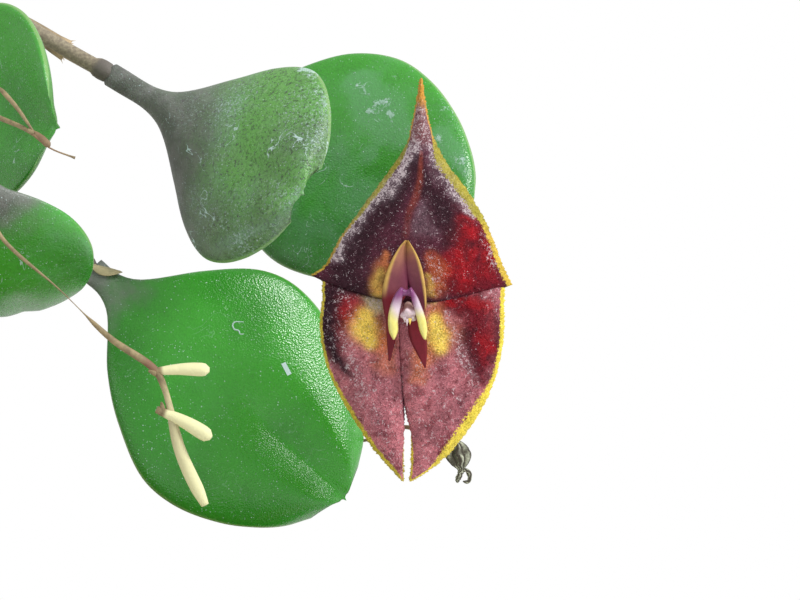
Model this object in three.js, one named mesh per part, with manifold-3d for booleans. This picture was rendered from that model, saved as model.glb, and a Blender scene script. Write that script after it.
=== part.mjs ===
// A small potted orchid, Lepanthes chelonion: a terracotta pot filled with moss, a creeping rhizome,
// slender sheathed stems with one thick round leaf each, and a flat maroon and yellow flower.
// Millimetres, +Z up, origin at the centre of the pot's underside. The flower faces -Y.

import * as THREE from 'three';
import { ParametricGeometry } from 'three/addons/geometries/ParametricGeometry.js';
import { mergeVertices } from 'three/addons/utils/BufferGeometryUtils.js';
import Module from 'manifold-3d';

const wasm = await Module();
wasm.setup();

// Pot
const POT_HEIGHT = 52;
const POT_BASE_RADIUS = 19;
const POT_FLARE = 0.183;
const POT_WALL = 3.2;
const POT_FLOOR = 4.5;
const BAND_HEIGHT = 11;
const BAND_RADIUS = 29;
const POT_EDGE = 0.8;
const POT_SEGMENTS = 44;
const DRAIN_RADIUS = 2.4;
const DRAIN_CIRCLE = 9.5;
const DRAIN_COUNT = 3;

// Moss filling and the clearance that it keeps to what it holds
const CLEARANCE = 0.3;
const MOSS_EDGE_HEIGHT = 48.6;
const MOSS_CROWN_HEIGHT = 53.2;
const MOSS_RINGS = 8;
const MOSS_SEGMENTS = 32;
const MOSS_LUMP = 0.55;

// Rhizome and roots
const RHIZOME_RADIUS = 1.1;
const RHIZOME_ROUTE = [
  [-15.5, -4, 50.5],
  [-9, 1.5, 50.4],
  [-2, 1, 50.3],
  [5, -1.5, 50.4],
  [11, 2, 50.3],
  [16, 5.5, 50.2],
];
const ROOT_RADIUS = 0.5;
const ROOT_PLACES = [0.1, 0.3, 0.5, 0.7, 0.9];
const ROOT_LENGTH = 13;

// Stems, called ramicauls: a thin rod in trumpet-shaped sheaths, bare just below the leaf
const STEM_RADIUS = 0.42;
const SHEATH_RADIUS = 0.62;
const SHEATHS = 5;
const ROWS_PER_SHEATH = 3;
const BARE_ROWS = 3;
const STEM_SIDES = 6;

// Leaves
const LEAF_COLUMNS = 14;
const LEAF_ROWS = [0, 0.08, 0.16, 0.25, 0.37, 0.5, 0.64, 0.78, 0.89, 0.96, 1];
const LEAF_HALF_THICKNESS = 0.5;
const PETIOLE_HALF_THICKNESS = 0.4;

// Racemes: the thread-like flower stalks
const STALK_RADIUS = 0.24;
const STALK_SIDES = 5;

// Flower, measured from its own centre with y up and z towards the viewer
const FLOWER_CENTRE = [32.6, -7, 76.82];
const SEPAL_THICKNESS = 0.7;
const PETAL_THICKNESS = 0.6;

const UP = new THREE.Vector3(0, 0, 1);

function vector(point) {
  return new THREE.Vector3(...point);
}

function smooth(value, low, high) {
  return THREE.MathUtils.smoothstep(value, low, high);
}

// A smooth curve of one variable through [station, value] pairs.
function through(...pairs) {
  const last = pairs.length - 1;
  const slope = (i) => {
    const before = pairs[Math.max(i - 1, 0)];
    const after = pairs[Math.min(i + 1, last)];
    return (after[1] - before[1]) / (after[0] - before[0]);
  };
  return (station) => {
    let i = 0;
    while (i < last - 1 && station > pairs[i + 1][0]) {
      i += 1;
    }
    const span = pairs[i + 1][0] - pairs[i][0];
    const s = THREE.MathUtils.clamp((station - pairs[i][0]) / span, 0, 1);
    const rest = 1 - s;
    const ends = pairs[i][1] * (1 + 2 * s) * rest * rest + pairs[i + 1][1] * (3 - 2 * s) * s * s;
    return ends + span * s * rest * (slope(i) * rest - slope(i + 1) * s);
  };
}

// Merges shared vertices, drops collapsed triangles and turns the faces outwards.
function closed(geometry) {
  geometry.deleteAttribute('normal');
  geometry.deleteAttribute('uv');
  const merged = mergeVertices(geometry, 1e-4);
  const position = merged.getAttribute('position');
  const old = merged.getIndex().array;
  const kept = [];
  let volume = 0;
  for (let i = 0; i < old.length; i += 3) {
    const [a, b, c] = [old[i], old[i + 1], old[i + 2]];
    if (a === b || b === c || c === a) {
      continue;
    }
    kept.push([a, b, c]);
    const corner = new THREE.Vector3().fromBufferAttribute(position, a);
    const second = new THREE.Vector3().fromBufferAttribute(position, b);
    const third = new THREE.Vector3().fromBufferAttribute(position, c);
    volume += corner.dot(second.cross(third));
  }
  const facing = volume < 0 ? ([a, b, c]) => [a, c, b] : (face) => face;
  merged.setIndex(kept.flatMap(facing));
  return merged;
}

function toSolid(geometry) {
  const mesh = new wasm.Mesh({
    numProp: 3,
    vertProperties: new Float32Array(geometry.getAttribute('position').array),
    triVerts: new Uint32Array(geometry.getIndex().array),
  });
  return new wasm.Manifold(mesh);
}

function toGeometry(solid) {
  const mesh = solid.getMesh();
  const geometry = new THREE.BufferGeometry();
  geometry.setAttribute('position', new THREE.BufferAttribute(mesh.vertProperties, 3));
  geometry.setIndex(new THREE.BufferAttribute(mesh.triVerts, 1));
  return geometry;
}

function fused(geometries) {
  return toGeometry(geometries.map(toSolid).reduce((whole, piece) => whole.add(piece)));
}

function carved(geometry, cutters) {
  return toGeometry(cutters.map(toSolid).reduce((rest, cutter) => rest.subtract(cutter), toSolid(geometry)));
}

function curveThrough(points) {
  return new THREE.CatmullRomCurve3(points.map(vector), false, 'centripetal');
}

// A closed round rod along a curve; radius(t) gives its radius from t = 0 to 1.
function rod(curve, radius, rows, sides) {
  const frames = curve.computeFrenetFrames(rows, false);
  const centres = curve.getSpacedPoints(rows);
  const stacks = rows + 2;
  const skin = (u, v, target) => {
    const step = Math.round(v * stacks);
    const row = THREE.MathUtils.clamp(step - 1, 0, rows);
    const capped = step === 0 || step === stacks;
    const size = capped ? 0 : radius(row / rows);
    const angle = (2 * Math.PI * (Math.round(u * sides) % sides)) / sides;
    target.copy(centres[row]);
    target.addScaledVector(frames.normals[row], size * Math.cos(angle));
    target.addScaledVector(frames.binormals[row], size * Math.sin(angle));
  };
  return closed(new ParametricGeometry(skin, sides, stacks));
}

// Turns the diagonals of a blade's second half, so that both of its faces are split alike and never cross.
function splitAlike(geometry, columns) {
  const index = geometry.getIndex();
  for (let i = 0; i < index.count; i += 6) {
    const column = (i / 6) % columns;
    if (column >= columns / 2) {
      const [a, b, c, d] = [0, 1, 4, 2].map((corner) => index.getX(i + corner));
      [a, b, c, a, c, d].forEach((corner, k) => index.setX(i + k, corner));
    }
  }
  return geometry;
}

// A closed blade with blunt edges. middle(q, t, target) is its middle face, with q from -1 to 1 across
// and t along the rows; half(t) is its half thickness, and fullness(t) how square its section is.
function blade({ middle, half, fullness, columns, rows, capped }) {
  const lead = capped ? 1 : 0;
  const stacks = rows.length - 1 + lead;
  const skin = (u, v, target) => {
    const step = Math.round(v * stacks);
    const t = rows[Math.max(step - lead, 0)];
    const place = Math.round(u * columns) % columns;
    const angle = (2 * Math.PI * place) / columns;
    const closing = capped && step === 0;
    const q = closing ? 0 : Math.cos(angle);
    const side = closing ? 0 : Math.sign(Math.round(Math.sin(angle) * 1e6));
    const level = Math.sqrt(1 - Math.min(Math.abs(q), 1) ** fullness(t));
    middle(q, t, target);
    target.z += side * half(t) * level;
  };
  return closed(splitAlike(new ParametricGeometry(skin, columns, stacks), columns));
}

// Leaf blade in its own frame: base at the origin, apex along +Y, upper face towards +Z.
const leafHalfWidth = through(
  [0, 0.04], [0.07, 0.042], [0.13, 0.075], [0.24, 0.2], [0.36, 0.3],
  [0.5, 0.352], [0.64, 0.342], [0.8, 0.284], [0.9, 0.222], [0.96, 0.165], [1, 0.1],
);
const leafHalfThickness = through(
  [0, PETIOLE_HALF_THICKNESS], [0.13, PETIOLE_HALF_THICKNESS], [0.3, LEAF_HALF_THICKNESS],
  [0.85, LEAF_HALF_THICKNESS], [0.96, 0.36], [1, 0],
);
const leafFullness = through([0, 2], [0.13, 2.5], [0.3, 8], [1, 8]);

function leafGeometry({ length, breadth, cup, crease, arch, taper = 1 }) {
  const middle = (q, t, target) => {
    const across = leafHalfWidth(t ** taper) * length * breadth * q;
    const back = 0.042 * smooth(t, 0.6, 1) * Math.abs(q);
    const spread = smooth(t, 0.1, 0.45);
    const groove = crease * smooth(t, 0.35, 0.9) * Math.max(0, 1 - Math.abs(q) / 0.4);
    const height = arch * Math.sin(Math.PI * t) - cup * spread * q * q - groove;
    target.set(across, length * (t - back), height);
  };
  const shape = {
    middle,
    half: leafHalfThickness,
    fullness: leafFullness,
    columns: LEAF_COLUMNS,
    rows: LEAF_ROWS,
    capped: true,
  };
  return blade(shape);
}

// Shoots. foot is the place along the rhizome, route the way that the stem takes, base and apex the
// leaf's two ends, face the direction that its upper side looks. cup, crease and arch are in millimetres,
// and a taper over 1 draws the widest place towards the apex.
const SHOOTS = [
  {
    foot: 0.67,
    route: [[4.4, 0.2, 64], [5, 1.6, 74], [7.2, 2.6, 79.4], [10.4, 2.6, 80.5], [13.2, 2, 78.9]],
    base: [14.77, 1.5, 77.68],
    apex: [29.05, -0.5, 65.05],
    face: [0, -0.95, 0.3],
    breadth: 1.03,
    cup: 1.2,
    crease: 0.5,
    arch: 0.4,
  },
  {
    foot: 0.6,
    route: [[2.2, 1.2, 68], [2.6, 2.6, 84], [4.2, 3.6, 91], [7, 4.1, 93], [9.6, 4, 92.2], [12.86, 3.5, 90.3]],
    base: [15.81, 2.5, 88.63],
    apex: [26.65, -8.18, 81.79],
    face: [-0.57, -0.77, 0.29],
    breadth: 1.01,
    cup: 1.28,
    crease: 0.3,
    arch: -0.94,
    taper: 1.53,
  },
  {
    foot: 0.53,
    route: [
      [1.2, 3.6, 70], [2.6, 5.6, 86], [5.2, 6.7, 92.6], [9.3, 7, 92.4], [12.66, 7, 90.4], [15.48, 7.4, 88.82],
      [17.44, 8.2, 87.65], [19.98, 9, 87.3],
    ],
    base: [22.17, 9.5, 87.62],
    apex: [35.49, -0.47, 79.9],
    face: [-0.43, -0.84, 0.34],
    breadth: 1.04,
    cup: 0.4,
    crease: 0.3,
    arch: -0.12,
    taper: 0.84,
  },
  {
    foot: 0.46,
    route: [[-2.6, 2.4, 64], [-4.6, 4, 78], [-3.8, 3.6, 87.4], [-1.8, 1.8, 89.6]],
    base: [0.45, 0, 89.19],
    apex: [13.45, -10.43, 85.27],
    face: [-0.63, -0.78, -0.03],
    breadth: 0.91,
    cup: -0.16,
    crease: 0.3,
    arch: -2.3,
    taper: 1.3,
  },
  {
    foot: 0.74,
    route: [[7.5, -5, 60], [8.2, -10.5, 70], [8.9, -13.6, 77], [9.4, -14.1, 80]],
    base: [9.91, -13.5, 82.4],
    apex: [11.26, -2.19, 75.33],
    face: [0.16, -0.54, -0.83],
    breadth: 0.99,
    cup: 0.13,
    crease: 0.3,
    arch: 1.97,
    taper: 0.71,
  },
  {
    foot: 0.32,
    route: [[-6.4, -1.5, 64], [-6.2, -3.6, 78], [-5.6, -4, 87]],
    base: [-5, -4, 92],
    apex: [-10, -8, 107.5],
    face: [-0.1, -0.95, -0.28],
    breadth: 1,
    cup: 0.8,
    crease: 0.4,
    arch: 0.4,
  },
  {
    foot: 0.11,
    route: [[-13.6, -4, 62], [-14.6, -6.4, 73]],
    base: [-14, -8, 80],
    apex: [-27.5, -17.6, 76.1],
    face: [-0.2, -0.1, 0.97],
    breadth: 1,
    cup: 0.8,
    crease: 0.4,
    arch: 0.8,
  },
  {
    foot: 0.18,
    route: [[-12, 2.5, 62], [-15, 6, 74]],
    base: [-16, 8, 84],
    apex: [-30.3, 14.7, 92.6],
    face: [0.1, -0.75, 0.65],
    breadth: 1.03,
    cup: 0.8,
    crease: 0.4,
    arch: 0.5,
  },
  {
    foot: 0.39,
    route: [[-4.5, 5, 62], [-3.5, 9.5, 74]],
    base: [-2, 14, 84],
    apex: [-4, 28, 93],
    face: [0, -0.54, 0.84],
    breadth: 0.97,
    cup: 0.8,
    crease: 0.4,
    arch: 0.4,
  },
  {
    foot: 0.25,
    route: [[-8.6, -4, 60], [-7.6, -9.5, 70]],
    base: [-6, -14, 76],
    apex: [-7.7, -26.4, 66.1],
    face: [0, -0.62, 0.78],
    breadth: 1,
    cup: 0.8,
    crease: 0.4,
    arch: 0.9,
  },
  {
    foot: 0.04,
    route: [[-16, -3.4, 60], [-17.6, -2.8, 67]],
    base: [-18, -2, 72],
    apex: [-33, -0.3, 64],
    face: [-0.45, -0.15, 0.88],
    breadth: 1,
    cup: 0.8,
    crease: 0.4,
    arch: 0.8,
  },
  {
    foot: 0.83,
    route: [[10.8, -2, 54.8], [12.6, -5, 56]],
    base: [15, -8, 55.5],
    apex: [27.6, -15.9, 54.6],
    face: [0.1, -0.1, 1],
    breadth: 1,
    cup: 0.3,
    crease: 0.3,
    arch: 0.4,
  },
  {
    foot: 0.9,
    route: [[12.4, 5.5, 54.6], [12, 9, 56.4]],
    base: [11.5, 12, 56.6],
    apex: [17.8, 22.8, 56.4],
    face: [0, 0, 1],
    breadth: 1,
    cup: 0.3,
    crease: 0.3,
    arch: 0.3,
  },
  {
    foot: 0.97,
    route: [[17, 5, 54.4]],
    base: [19.5, 3.6, 55.6],
    apex: [31, 1, 55.4],
    face: [0, -0.05, 1],
    breadth: 1,
    cup: 0.3,
    crease: 0.3,
    arch: 0.3,
  },
  {
    foot: 0.215,
    route: [[-9.2, 5, 60], [-9, 10, 65.5]],
    base: [-9.6, 12.4, 68],
    apex: [-17.5, 24, 70.5],
    face: [0.1, -0.15, 1],
    breadth: 1.02,
    cup: 0.8,
    crease: 0.4,
    arch: 0.7,
  },
  {
    foot: 0.43,
    route: [[-1.5, 5, 60], [-0.6, 9.5, 66.5]],
    base: [-0.2, 12, 70],
    apex: [1, 25.5, 72.5],
    face: [0, -0.2, 1],
    breadth: 0.96,
    cup: 0.7,
    crease: 0.4,
    arch: 0.7,
  },
];

const plant = new THREE.Group();
const rhizomeCurve = curveThrough(RHIZOME_ROUTE);

function material(colour, roughness) {
  return new THREE.MeshStandardMaterial({ color: colour, roughness, metalness: 0 });
}

function addPiece(group, name, geometry, surface) {
  const mesh = new THREE.Mesh(geometry, surface);
  mesh.name = name;
  group.add(mesh);
  return mesh;
}

// Pot
function potOuterRadius(height) {
  return POT_BASE_RADIUS + POT_FLARE * height;
}

function potInnerRadius(height) {
  return potOuterRadius(height) - POT_WALL;
}

function potGeometry() {
  const bandFoot = POT_HEIGHT - BAND_HEIGHT;
  const profile = [
    [0, 0],
    [POT_BASE_RADIUS - POT_EDGE, 0],
    [potOuterRadius(POT_EDGE), POT_EDGE],
    [potOuterRadius(bandFoot), bandFoot],
    [BAND_RADIUS - POT_EDGE, bandFoot + POT_EDGE / 2],
    [BAND_RADIUS - POT_EDGE / 4, bandFoot + 2 * POT_EDGE],
    [BAND_RADIUS, POT_HEIGHT - POT_EDGE],
    [BAND_RADIUS - POT_EDGE, POT_HEIGHT],
    [potInnerRadius(POT_HEIGHT) + POT_EDGE, POT_HEIGHT],
    [potInnerRadius(POT_HEIGHT), POT_HEIGHT - POT_EDGE],
    [potInnerRadius(POT_FLOOR + POT_EDGE), POT_FLOOR + POT_EDGE],
    [potInnerRadius(POT_FLOOR) - POT_EDGE, POT_FLOOR],
    [0, POT_FLOOR],
  ];
  const points = profile.map(([radius, height]) => new THREE.Vector2(radius, height));
  const body = new THREE.LatheGeometry(points, POT_SEGMENTS);
  body.rotateX(Math.PI / 2);
  const drains = Array.from({ length: DRAIN_COUNT }, (_, i) => {
    const angle = (2 * Math.PI * (i + 0.25)) / DRAIN_COUNT;
    const drain = new THREE.CylinderGeometry(DRAIN_RADIUS, DRAIN_RADIUS, 4 * POT_FLOOR, 14);
    drain.rotateX(Math.PI / 2);
    drain.translate(DRAIN_CIRCLE * Math.cos(angle), DRAIN_CIRCLE * Math.sin(angle), 0);
    return closed(drain);
  });
  return carved(closed(body), drains);
}

// Stems
function stemRadius(t) {
  const rows = SHEATHS * ROWS_PER_SHEATH + BARE_ROWS;
  const row = Math.round(t * rows);
  const inSheath = row % ROWS_PER_SHEATH;
  const sheathed = row < SHEATHS * ROWS_PER_SHEATH;
  const share = sheathed ? inSheath / (ROWS_PER_SHEATH - 1) : 0;
  return STEM_RADIUS + (SHEATH_RADIUS - STEM_RADIUS) * share;
}

function stemFoot(shoot) {
  const lift = RHIZOME_RADIUS + CLEARANCE;
  return rhizomeCurve.getPointAt(shoot.foot).addScaledVector(UP, lift).toArray();
}

function stemRoute(shoot) {
  const base = vector(shoot.base);
  const before = vector(shoot.route.at(-1));
  const approach = base.clone().sub(before).normalize();
  const axis = vector(shoot.apex).sub(base).normalize();
  const turn = Math.sqrt(Math.max(0, 1 - approach.dot(axis) ** 2));
  const end = base.clone().addScaledVector(approach, -CLEARANCE - STEM_RADIUS * turn);
  return curveThrough([stemFoot(shoot), ...shoot.route, end.toArray()]);
}

function stemGeometry(shoot, spare) {
  const rows = SHEATHS * ROWS_PER_SHEATH + BARE_ROWS;
  return rod(stemRoute(shoot), (t) => stemRadius(t) + spare, rows, STEM_SIDES);
}

// Rhizome with its roots
function rootCurve(place, i) {
  const start = rhizomeCurve.getPointAt(place);
  const side = i % 2 === 0 ? 1 : -1;
  const middle = start.clone().add(new THREE.Vector3(1.5 - i * 0.5, side * 3.5, -ROOT_LENGTH * 0.4));
  const end = start.clone().add(new THREE.Vector3(i - 2.5, side * 5, -ROOT_LENGTH));
  return new THREE.CatmullRomCurve3([start, middle, end]);
}

function rhizomeGeometry(spare) {
  const stock = rod(rhizomeCurve, () => RHIZOME_RADIUS + spare, 12, 7);
  const roots = ROOT_PLACES.map((place, i) => {
    const taper = (t) => (ROOT_RADIUS + spare) * (1 - 0.3 * t);
    return rod(rootCurve(place, i), taper, 3, 5);
  });
  return fused([stock, ...roots]);
}

// Moss: fills the pot, heaped in the middle, with lumps, and plain holes round what grows in it.
function mossLump(x, y) {
  const wide = Math.sin(0.62 * x + 0.5) * Math.cos(0.55 * y - 0.3);
  const fine = Math.sin(1.35 * x - 0.8 * y) * Math.cos(1.1 * y + 0.4 * x);
  return MOSS_LUMP * (wide + 0.7 * fine);
}

function mossGeometry() {
  const foot = POT_FLOOR + CLEARANCE;
  const edge = potInnerRadius(MOSS_EDGE_HEIGHT) - CLEARANCE;
  const points = [new THREE.Vector2(0, foot)];
  points.push(new THREE.Vector2(potInnerRadius(foot) - CLEARANCE - POT_EDGE, foot));
  points.push(new THREE.Vector2(edge, MOSS_EDGE_HEIGHT));
  for (let i = 1; i <= MOSS_RINGS; i += 1) {
    const share = 1 - i / MOSS_RINGS;
    const rise = (MOSS_CROWN_HEIGHT - MOSS_EDGE_HEIGHT) * (1 - share ** 3);
    points.push(new THREE.Vector2(edge * share, MOSS_EDGE_HEIGHT + rise));
  }
  const body = new THREE.LatheGeometry(points, MOSS_SEGMENTS);
  body.rotateX(Math.PI / 2);
  const position = body.getAttribute('position');
  for (let i = 0; i < position.count; i += 1) {
    const [x, y, z] = [position.getX(i), position.getY(i), position.getZ(i)];
    const inside = 1 - (Math.hypot(x, y) / edge) ** 6;
    if (z > MOSS_EDGE_HEIGHT) {
      position.setZ(i, z + inside * mossLump(x, y));
    }
  }
  const stems = SHOOTS.map((shoot) => stemGeometry(shoot, CLEARANCE));
  return carved(closed(body), [rhizomeGeometry(CLEARANCE), ...stems]);
}

// Stalks of the racemes: a thin rod with thicker stubs, nodes or buds fused on.
function stalk(points, radius, rows) {
  return rod(curveThrough(points), radius, rows, STALK_SIDES);
}

function stub(from, to, thick) {
  const shape = through([0, 0.55], [0.4, 0.8], [0.75, 1], [1, 0.7]);
  return rod(curveThrough([from, to]), (t) => thick * shape(t), 3, STALK_SIDES);
}

function behindLeaf(shoot, distance) {
  const away = vector(shoot.face).normalize();
  return vector(shoot.base).addScaledVector(away, distance).toArray();
}

const STALK_OFFSET = 1;

function floweringRaceme() {
  const route = [
    behindLeaf(SHOOTS[0], -STALK_OFFSET),
    [18, 4.4, 75.6],
    [24, 4.4, 71],
    [29.3, 3, 68.13],
    [32.28, -0.6, 68.94],
    [33.99, -2, 68.47],
  ];
  const pedicel = [
    [33.4, -1.7, 68.7],
    [33.6, -2.6, 70.6],
    [33, -4.4, 73.8],
    [32.3, -5.7, 75.5],
  ];
  const swell = through([0, STALK_RADIUS], [0.6, STALK_RADIUS], [0.8, 0.5], [1, 0.42]);
  const thread = () => STALK_RADIUS;
  const bract = stub([33.3, -1.6, 68.6], [34.2, -2.1, 68.4], 0.42);
  return fused([stalk(route, thread, 16), stalk(pedicel, swell, 8), bract]);
}

function frontSpentRaceme() {
  const route = [
    [10.4, -14.8, 82.2],
    [10.3, -15.4, 81],
    [10.79, -15.5, 79.45],
    [13.97, -15.5, 76.53],
    [16.62, -15.5, 73.99],
    [19.01, -15.5, 72.29],
    [19.54, -15.5, 71.23],
    [20.33, -15.5, 68.05],
    [21.64, -15, 65.11],
  ];
  const thicken = through([0, STALK_RADIUS], [0.55, STALK_RADIUS], [0.75, 0.34], [1, 0.5]);
  const stubs = [
    stub([18.9, -15.5, 72.3], [21.93, -15.5, 72.13], 0.48),
    stub([19.1, -15.5, 70.05], [22.05, -15.9, 68.69], 0.54),
  ];
  return fused([stalk(route, thicken, 18), ...stubs]);
}

function upperSpentRaceme() {
  const route = [
    behindLeaf(SHOOTS[3], STALK_OFFSET),
    [3.5, -5.8, 88.4],
    [7, -9, 87.2],
    [10.48, -11, 85.79],
    [12.22, -13, 84.98],
    [13.32, -13.5, 84.11],
    [14.66, -13.5, 83.58],
  ];
  const thin = through([0, STALK_RADIUS], [0.7, STALK_RADIUS], [1, 0.14]);
  const stubs = [
    stub([12.4, -13, 85], [10.5, -12, 87.4], 0.26),
    stub([12.1, -12.9, 85.1], [13.4, -13.5, 84.2], 0.42),
  ];
  return fused([stalk(route, thin, 14), ...stubs]);
}

function buddingRaceme() {
  const route = [
    behindLeaf(SHOOTS[6], STALK_OFFSET),
    [-16.5, -9.8, 82.4],
    [-19.6, -12, 82.4],
    [-22.6, -14.2, 81.2],
  ];
  const buds = [
    stub([-17.6, -10.6, 82.5], [-17.2, -11.4, 84.4], 0.55),
    stub([-19.4, -11.9, 82.4], [-20.2, -11.2, 84.2], 0.5),
    stub([-21.2, -13.2, 81.9], [-21.2, -14.2, 83.4], 0.42),
    stub([-22.5, -14.1, 81.2], [-23.6, -14.8, 81.8], 0.36),
  ];
  return fused([stalk(route, () => STALK_RADIUS, 10), ...buds]);
}

function driedFlower() {
  const body = through([0, 0.32], [0.3, 0.75], [0.55, 0.6], [0.72, 0.3], [1, 0.42]);
  const bag = rod(curveThrough([[34.75, -2, 67.9], [35.2, -2.1, 66.9], [35.5, -2, 65.95]]), body, 7, 8);
  const lobes = [
    stub([35.5, -2, 66.4], [34.9, -2.1, 65.75], 0.34),
    stub([35.5, -2, 66.4], [35.95, -1.9, 65.9], 0.32),
  ];
  return fused([bag, ...lobes]);
}

// Flower pieces: each lies between two edges that run from t = 0 to 1, and depth(q, t) is its relief.
function petalShape({ left, right, depth, hem, thickness, columns, count }) {
  const outline = (points) => new THREE.SplineCurve(points.map(([x, y]) => new THREE.Vector2(x, y)));
  const edges = [left, right].map(outline);
  const middle = (q, t, target) => {
    const [from, to] = edges.map((edge) => edge.getPoint(t));
    const point = from.lerp(to, (q + 1) / 2);
    target.set(point.x, point.y + hem(q, t), depth(q, t));
  };
  const rows = Array.from({ length: count + 1 }, (_, i) => i / count);
  const half = (t) => (thickness / 2) * Math.sqrt(Math.max(0, 1 - (2 * t - 1) ** 10));
  return blade({ middle, half, fullness: () => 8, columns, rows, capped: false });
}

function dorsalSepal() {
  const left = [
    [-5.4, 0.45], [-4.1, 2.4], [-3.2, 3.7], [-2.05, 5.45], [-0.75, 6.9], [-0.1, 8.3], [0.2, 10], [0.5, 11.25],
  ];
  const right = [
    [5.45, 0.1], [4.6, 2.5], [3.45, 4.5], [2.15, 6.05], [1.2, 7.4], [0.88, 8.7], [0.8, 10], [0.62, 11.25],
  ];
  const hem = (q, t) => -1.25 * (1 - q * q) * (1 - t) ** 3;
  const depth = (q, t) => 0.25 * (1 - q * q) - 0.35 * q * q * (1 - t) + 0.5 * t * t;
  return petalShape({ left, right, depth, hem, thickness: SEPAL_THICKNESS, columns: 14, count: 12 });
}

function lateralSepal(outer, inner) {
  const hem = (q, t) => -0.12 * (1 - q * q) * (1 - t) ** 8;
  const swell = (t) => 0.75 * Math.sin(Math.PI * (0.1 + 0.9 * t));
  const depth = (q, t) => (1 - q * q) * swell(t) - 0.25 * (1 - t);
  const [left, right] = outer[0][0] < inner[0][0] ? [outer, inner] : [inner, outer];
  return petalShape({ left, right, depth, hem, thickness: SEPAL_THICKNESS, columns: 12, count: 12 });
}

function petal(left, right, depth) {
  return petalShape({ left, right, depth, hem: () => 0, thickness: PETAL_THICKNESS, columns: 8, count: 9 });
}

function lipGeometry() {
  const forward = (q, t) => 2.75 + 0.35 * t * t;
  const leftLobe = petal(
    [[-0.75, -0.25], [-1.18, -1], [-1.25, -1.9], [-1.02, -2.95]],
    [[-0.3, -0.5], [-0.5, -1.35], [-0.66, -2.1], [-0.94, -2.9]],
    forward,
  );
  const rightLobe = petal(
    [[-0.02, -0.5], [0.24, -1.3], [0.42, -2], [0.76, -2.85]],
    [[0.34, -0.25], [0.62, -1], [0.8, -1.6], [0.86, -2.85]],
    forward,
  );
  const bar = rod(curveThrough([[-0.62, -0.5, 2.75], [0.22, -0.5, 2.75]]), () => 0.24, 2, 6);
  return fused([leftLobe, rightLobe, bar]);
}

function columnGeometry() {
  const route = [[-0.16, -1.1, 0.7], [-0.16, -1.12, 1.6], [-0.12, -1.35, 2.3], [-0.1, -1.8, 2.9]];
  return rod(curveThrough(route), through([0, 0.2], [0.5, 0.22], [1, 0.28]), 6, 7);
}

addPiece(plant, 'pot', potGeometry(), material('#b0623f', 0.85));
addPiece(plant, 'moss', mossGeometry(), material('#8a8a4c', 0.95));
addPiece(plant, 'rhizome', rhizomeGeometry(0), material('#8d7a55', 0.75));

SHOOTS.forEach((shoot, i) => {
  const number = String(i + 1).padStart(2, '0');
  addPiece(plant, `ramicaul_${number}`, stemGeometry(shoot, 0), material('#8f7b6a', 0.7));
  const base = vector(shoot.base);
  const along = vector(shoot.apex).sub(base);
  const length = along.length();
  const geometry = leafGeometry({ ...shoot, length });
  const leaf = addPiece(plant, `leaf_${number}`, geometry, material('#3f8a2c', 0.4));
  along.normalize();
  const across = along.clone().cross(vector(shoot.face)).normalize();
  const upper = across.clone().cross(along);
  leaf.position.copy(base);
  leaf.quaternion.setFromRotationMatrix(new THREE.Matrix4().makeBasis(across, along, upper));
});

addPiece(plant, 'raceme_flowering', floweringRaceme(), material('#9c6a4a', 0.7));
addPiece(plant, 'raceme_spent_front', frontSpentRaceme(), material('#c9b07a', 0.75));
addPiece(plant, 'raceme_spent_upper', upperSpentRaceme(), material('#b7a07c', 0.75));
addPiece(plant, 'raceme_budding', buddingRaceme(), material('#8a9a4a', 0.6));
addPiece(plant, 'dried_flower', driedFlower(), material('#8c8a76', 0.9));

const flower = new THREE.Group();
flower.position.set(...FLOWER_CENTRE);
flower.rotation.x = Math.PI / 2;
plant.add(flower);

addPiece(flower, 'dorsal_sepal', dorsalSepal(), material('#6b1c22', 0.6));
addPiece(
  flower,
  'lateral_sepal_left',
  lateralSepal(
    [[-4.85, 0.1], [-4.75, -0.8], [-4.96, -2.6], [-4.36, -4.8], [-3.27, -6.8], [-1.74, -8.9], [-0.5, -10.7]],
    [[-0.45, -1.25], [-0.5, -3], [-0.56, -4.8], [-0.48, -6.3], [-0.42, -7.5], [-0.42, -9.4], [-0.4, -10.7]],
  ),
  material('#8a3038', 0.6),
);
addPiece(
  flower,
  'lateral_sepal_right',
  lateralSepal(
    [[5.12, -0.25], [5.08, -1.1], [4.96, -3.2], [4.52, -5.45], [3.49, -7.58], [1.8, -9.37], [0.02, -10.75]],
    [[-0.2, -1.25], [-0.22, -3], [-0.28, -4.8], [-0.2, -6.6], [-0.1, -7.7], [0, -9.4], [-0.05, -10.7]],
  ),
  material('#8f2a34', 0.6),
);
addPiece(
  flower,
  'petal_left',
  petal(
    [[-0.6, 2.35], [-1.31, 0.82], [-1.66, -0.4], [-1.62, -1.6], [-1.36, -3], [-1.14, -4.15]],
    [[-0.4, 2.2], [-0.4, 0.9], [-0.5, -0.3], [-0.66, -1.2], [-0.6, -2.4], [-1.04, -4.1]],
    (q, t) => 1.55 - 0.35 * q * Math.cos(Math.PI * Math.min(0.5, t * 0.8)),
  ),
  material('#a07048', 0.5),
);
addPiece(
  flower,
  'petal_right',
  petal(
    [[-0.16, 2.2], [-0.16, 0.9], [0.1, -0.2], [0.33, -1.2], [0.2, -2.4], [0.74, -4.4]],
    [[0.02, 2.3], [0.55, 0.9], [0.8, -0.3], [0.84, -1.5], [0.92, -3], [0.84, -4.45]],
    (q, t) => 1.55 + 0.35 * q * Math.cos(Math.PI * Math.min(0.5, t * 0.8)),
  ),
  material('#9a6a44', 0.5),
);
addPiece(flower, 'lip', lipGeometry(), material('#d9c79a', 0.4));
addPiece(flower, 'column', columnGeometry(), material('#d79aa8', 0.4));

export default plant;
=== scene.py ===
# The looks of a small potted orchid, Lepanthes chelonion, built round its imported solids.
# Blender 4.5. Shapes are worked out in millimetres, as in the solids, and are placed in metres, +Z up.
# The flower faces -Y.

import math
from typing import NamedTuple

import bpy
import numpy as np
from mathutils import Matrix, Vector


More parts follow.
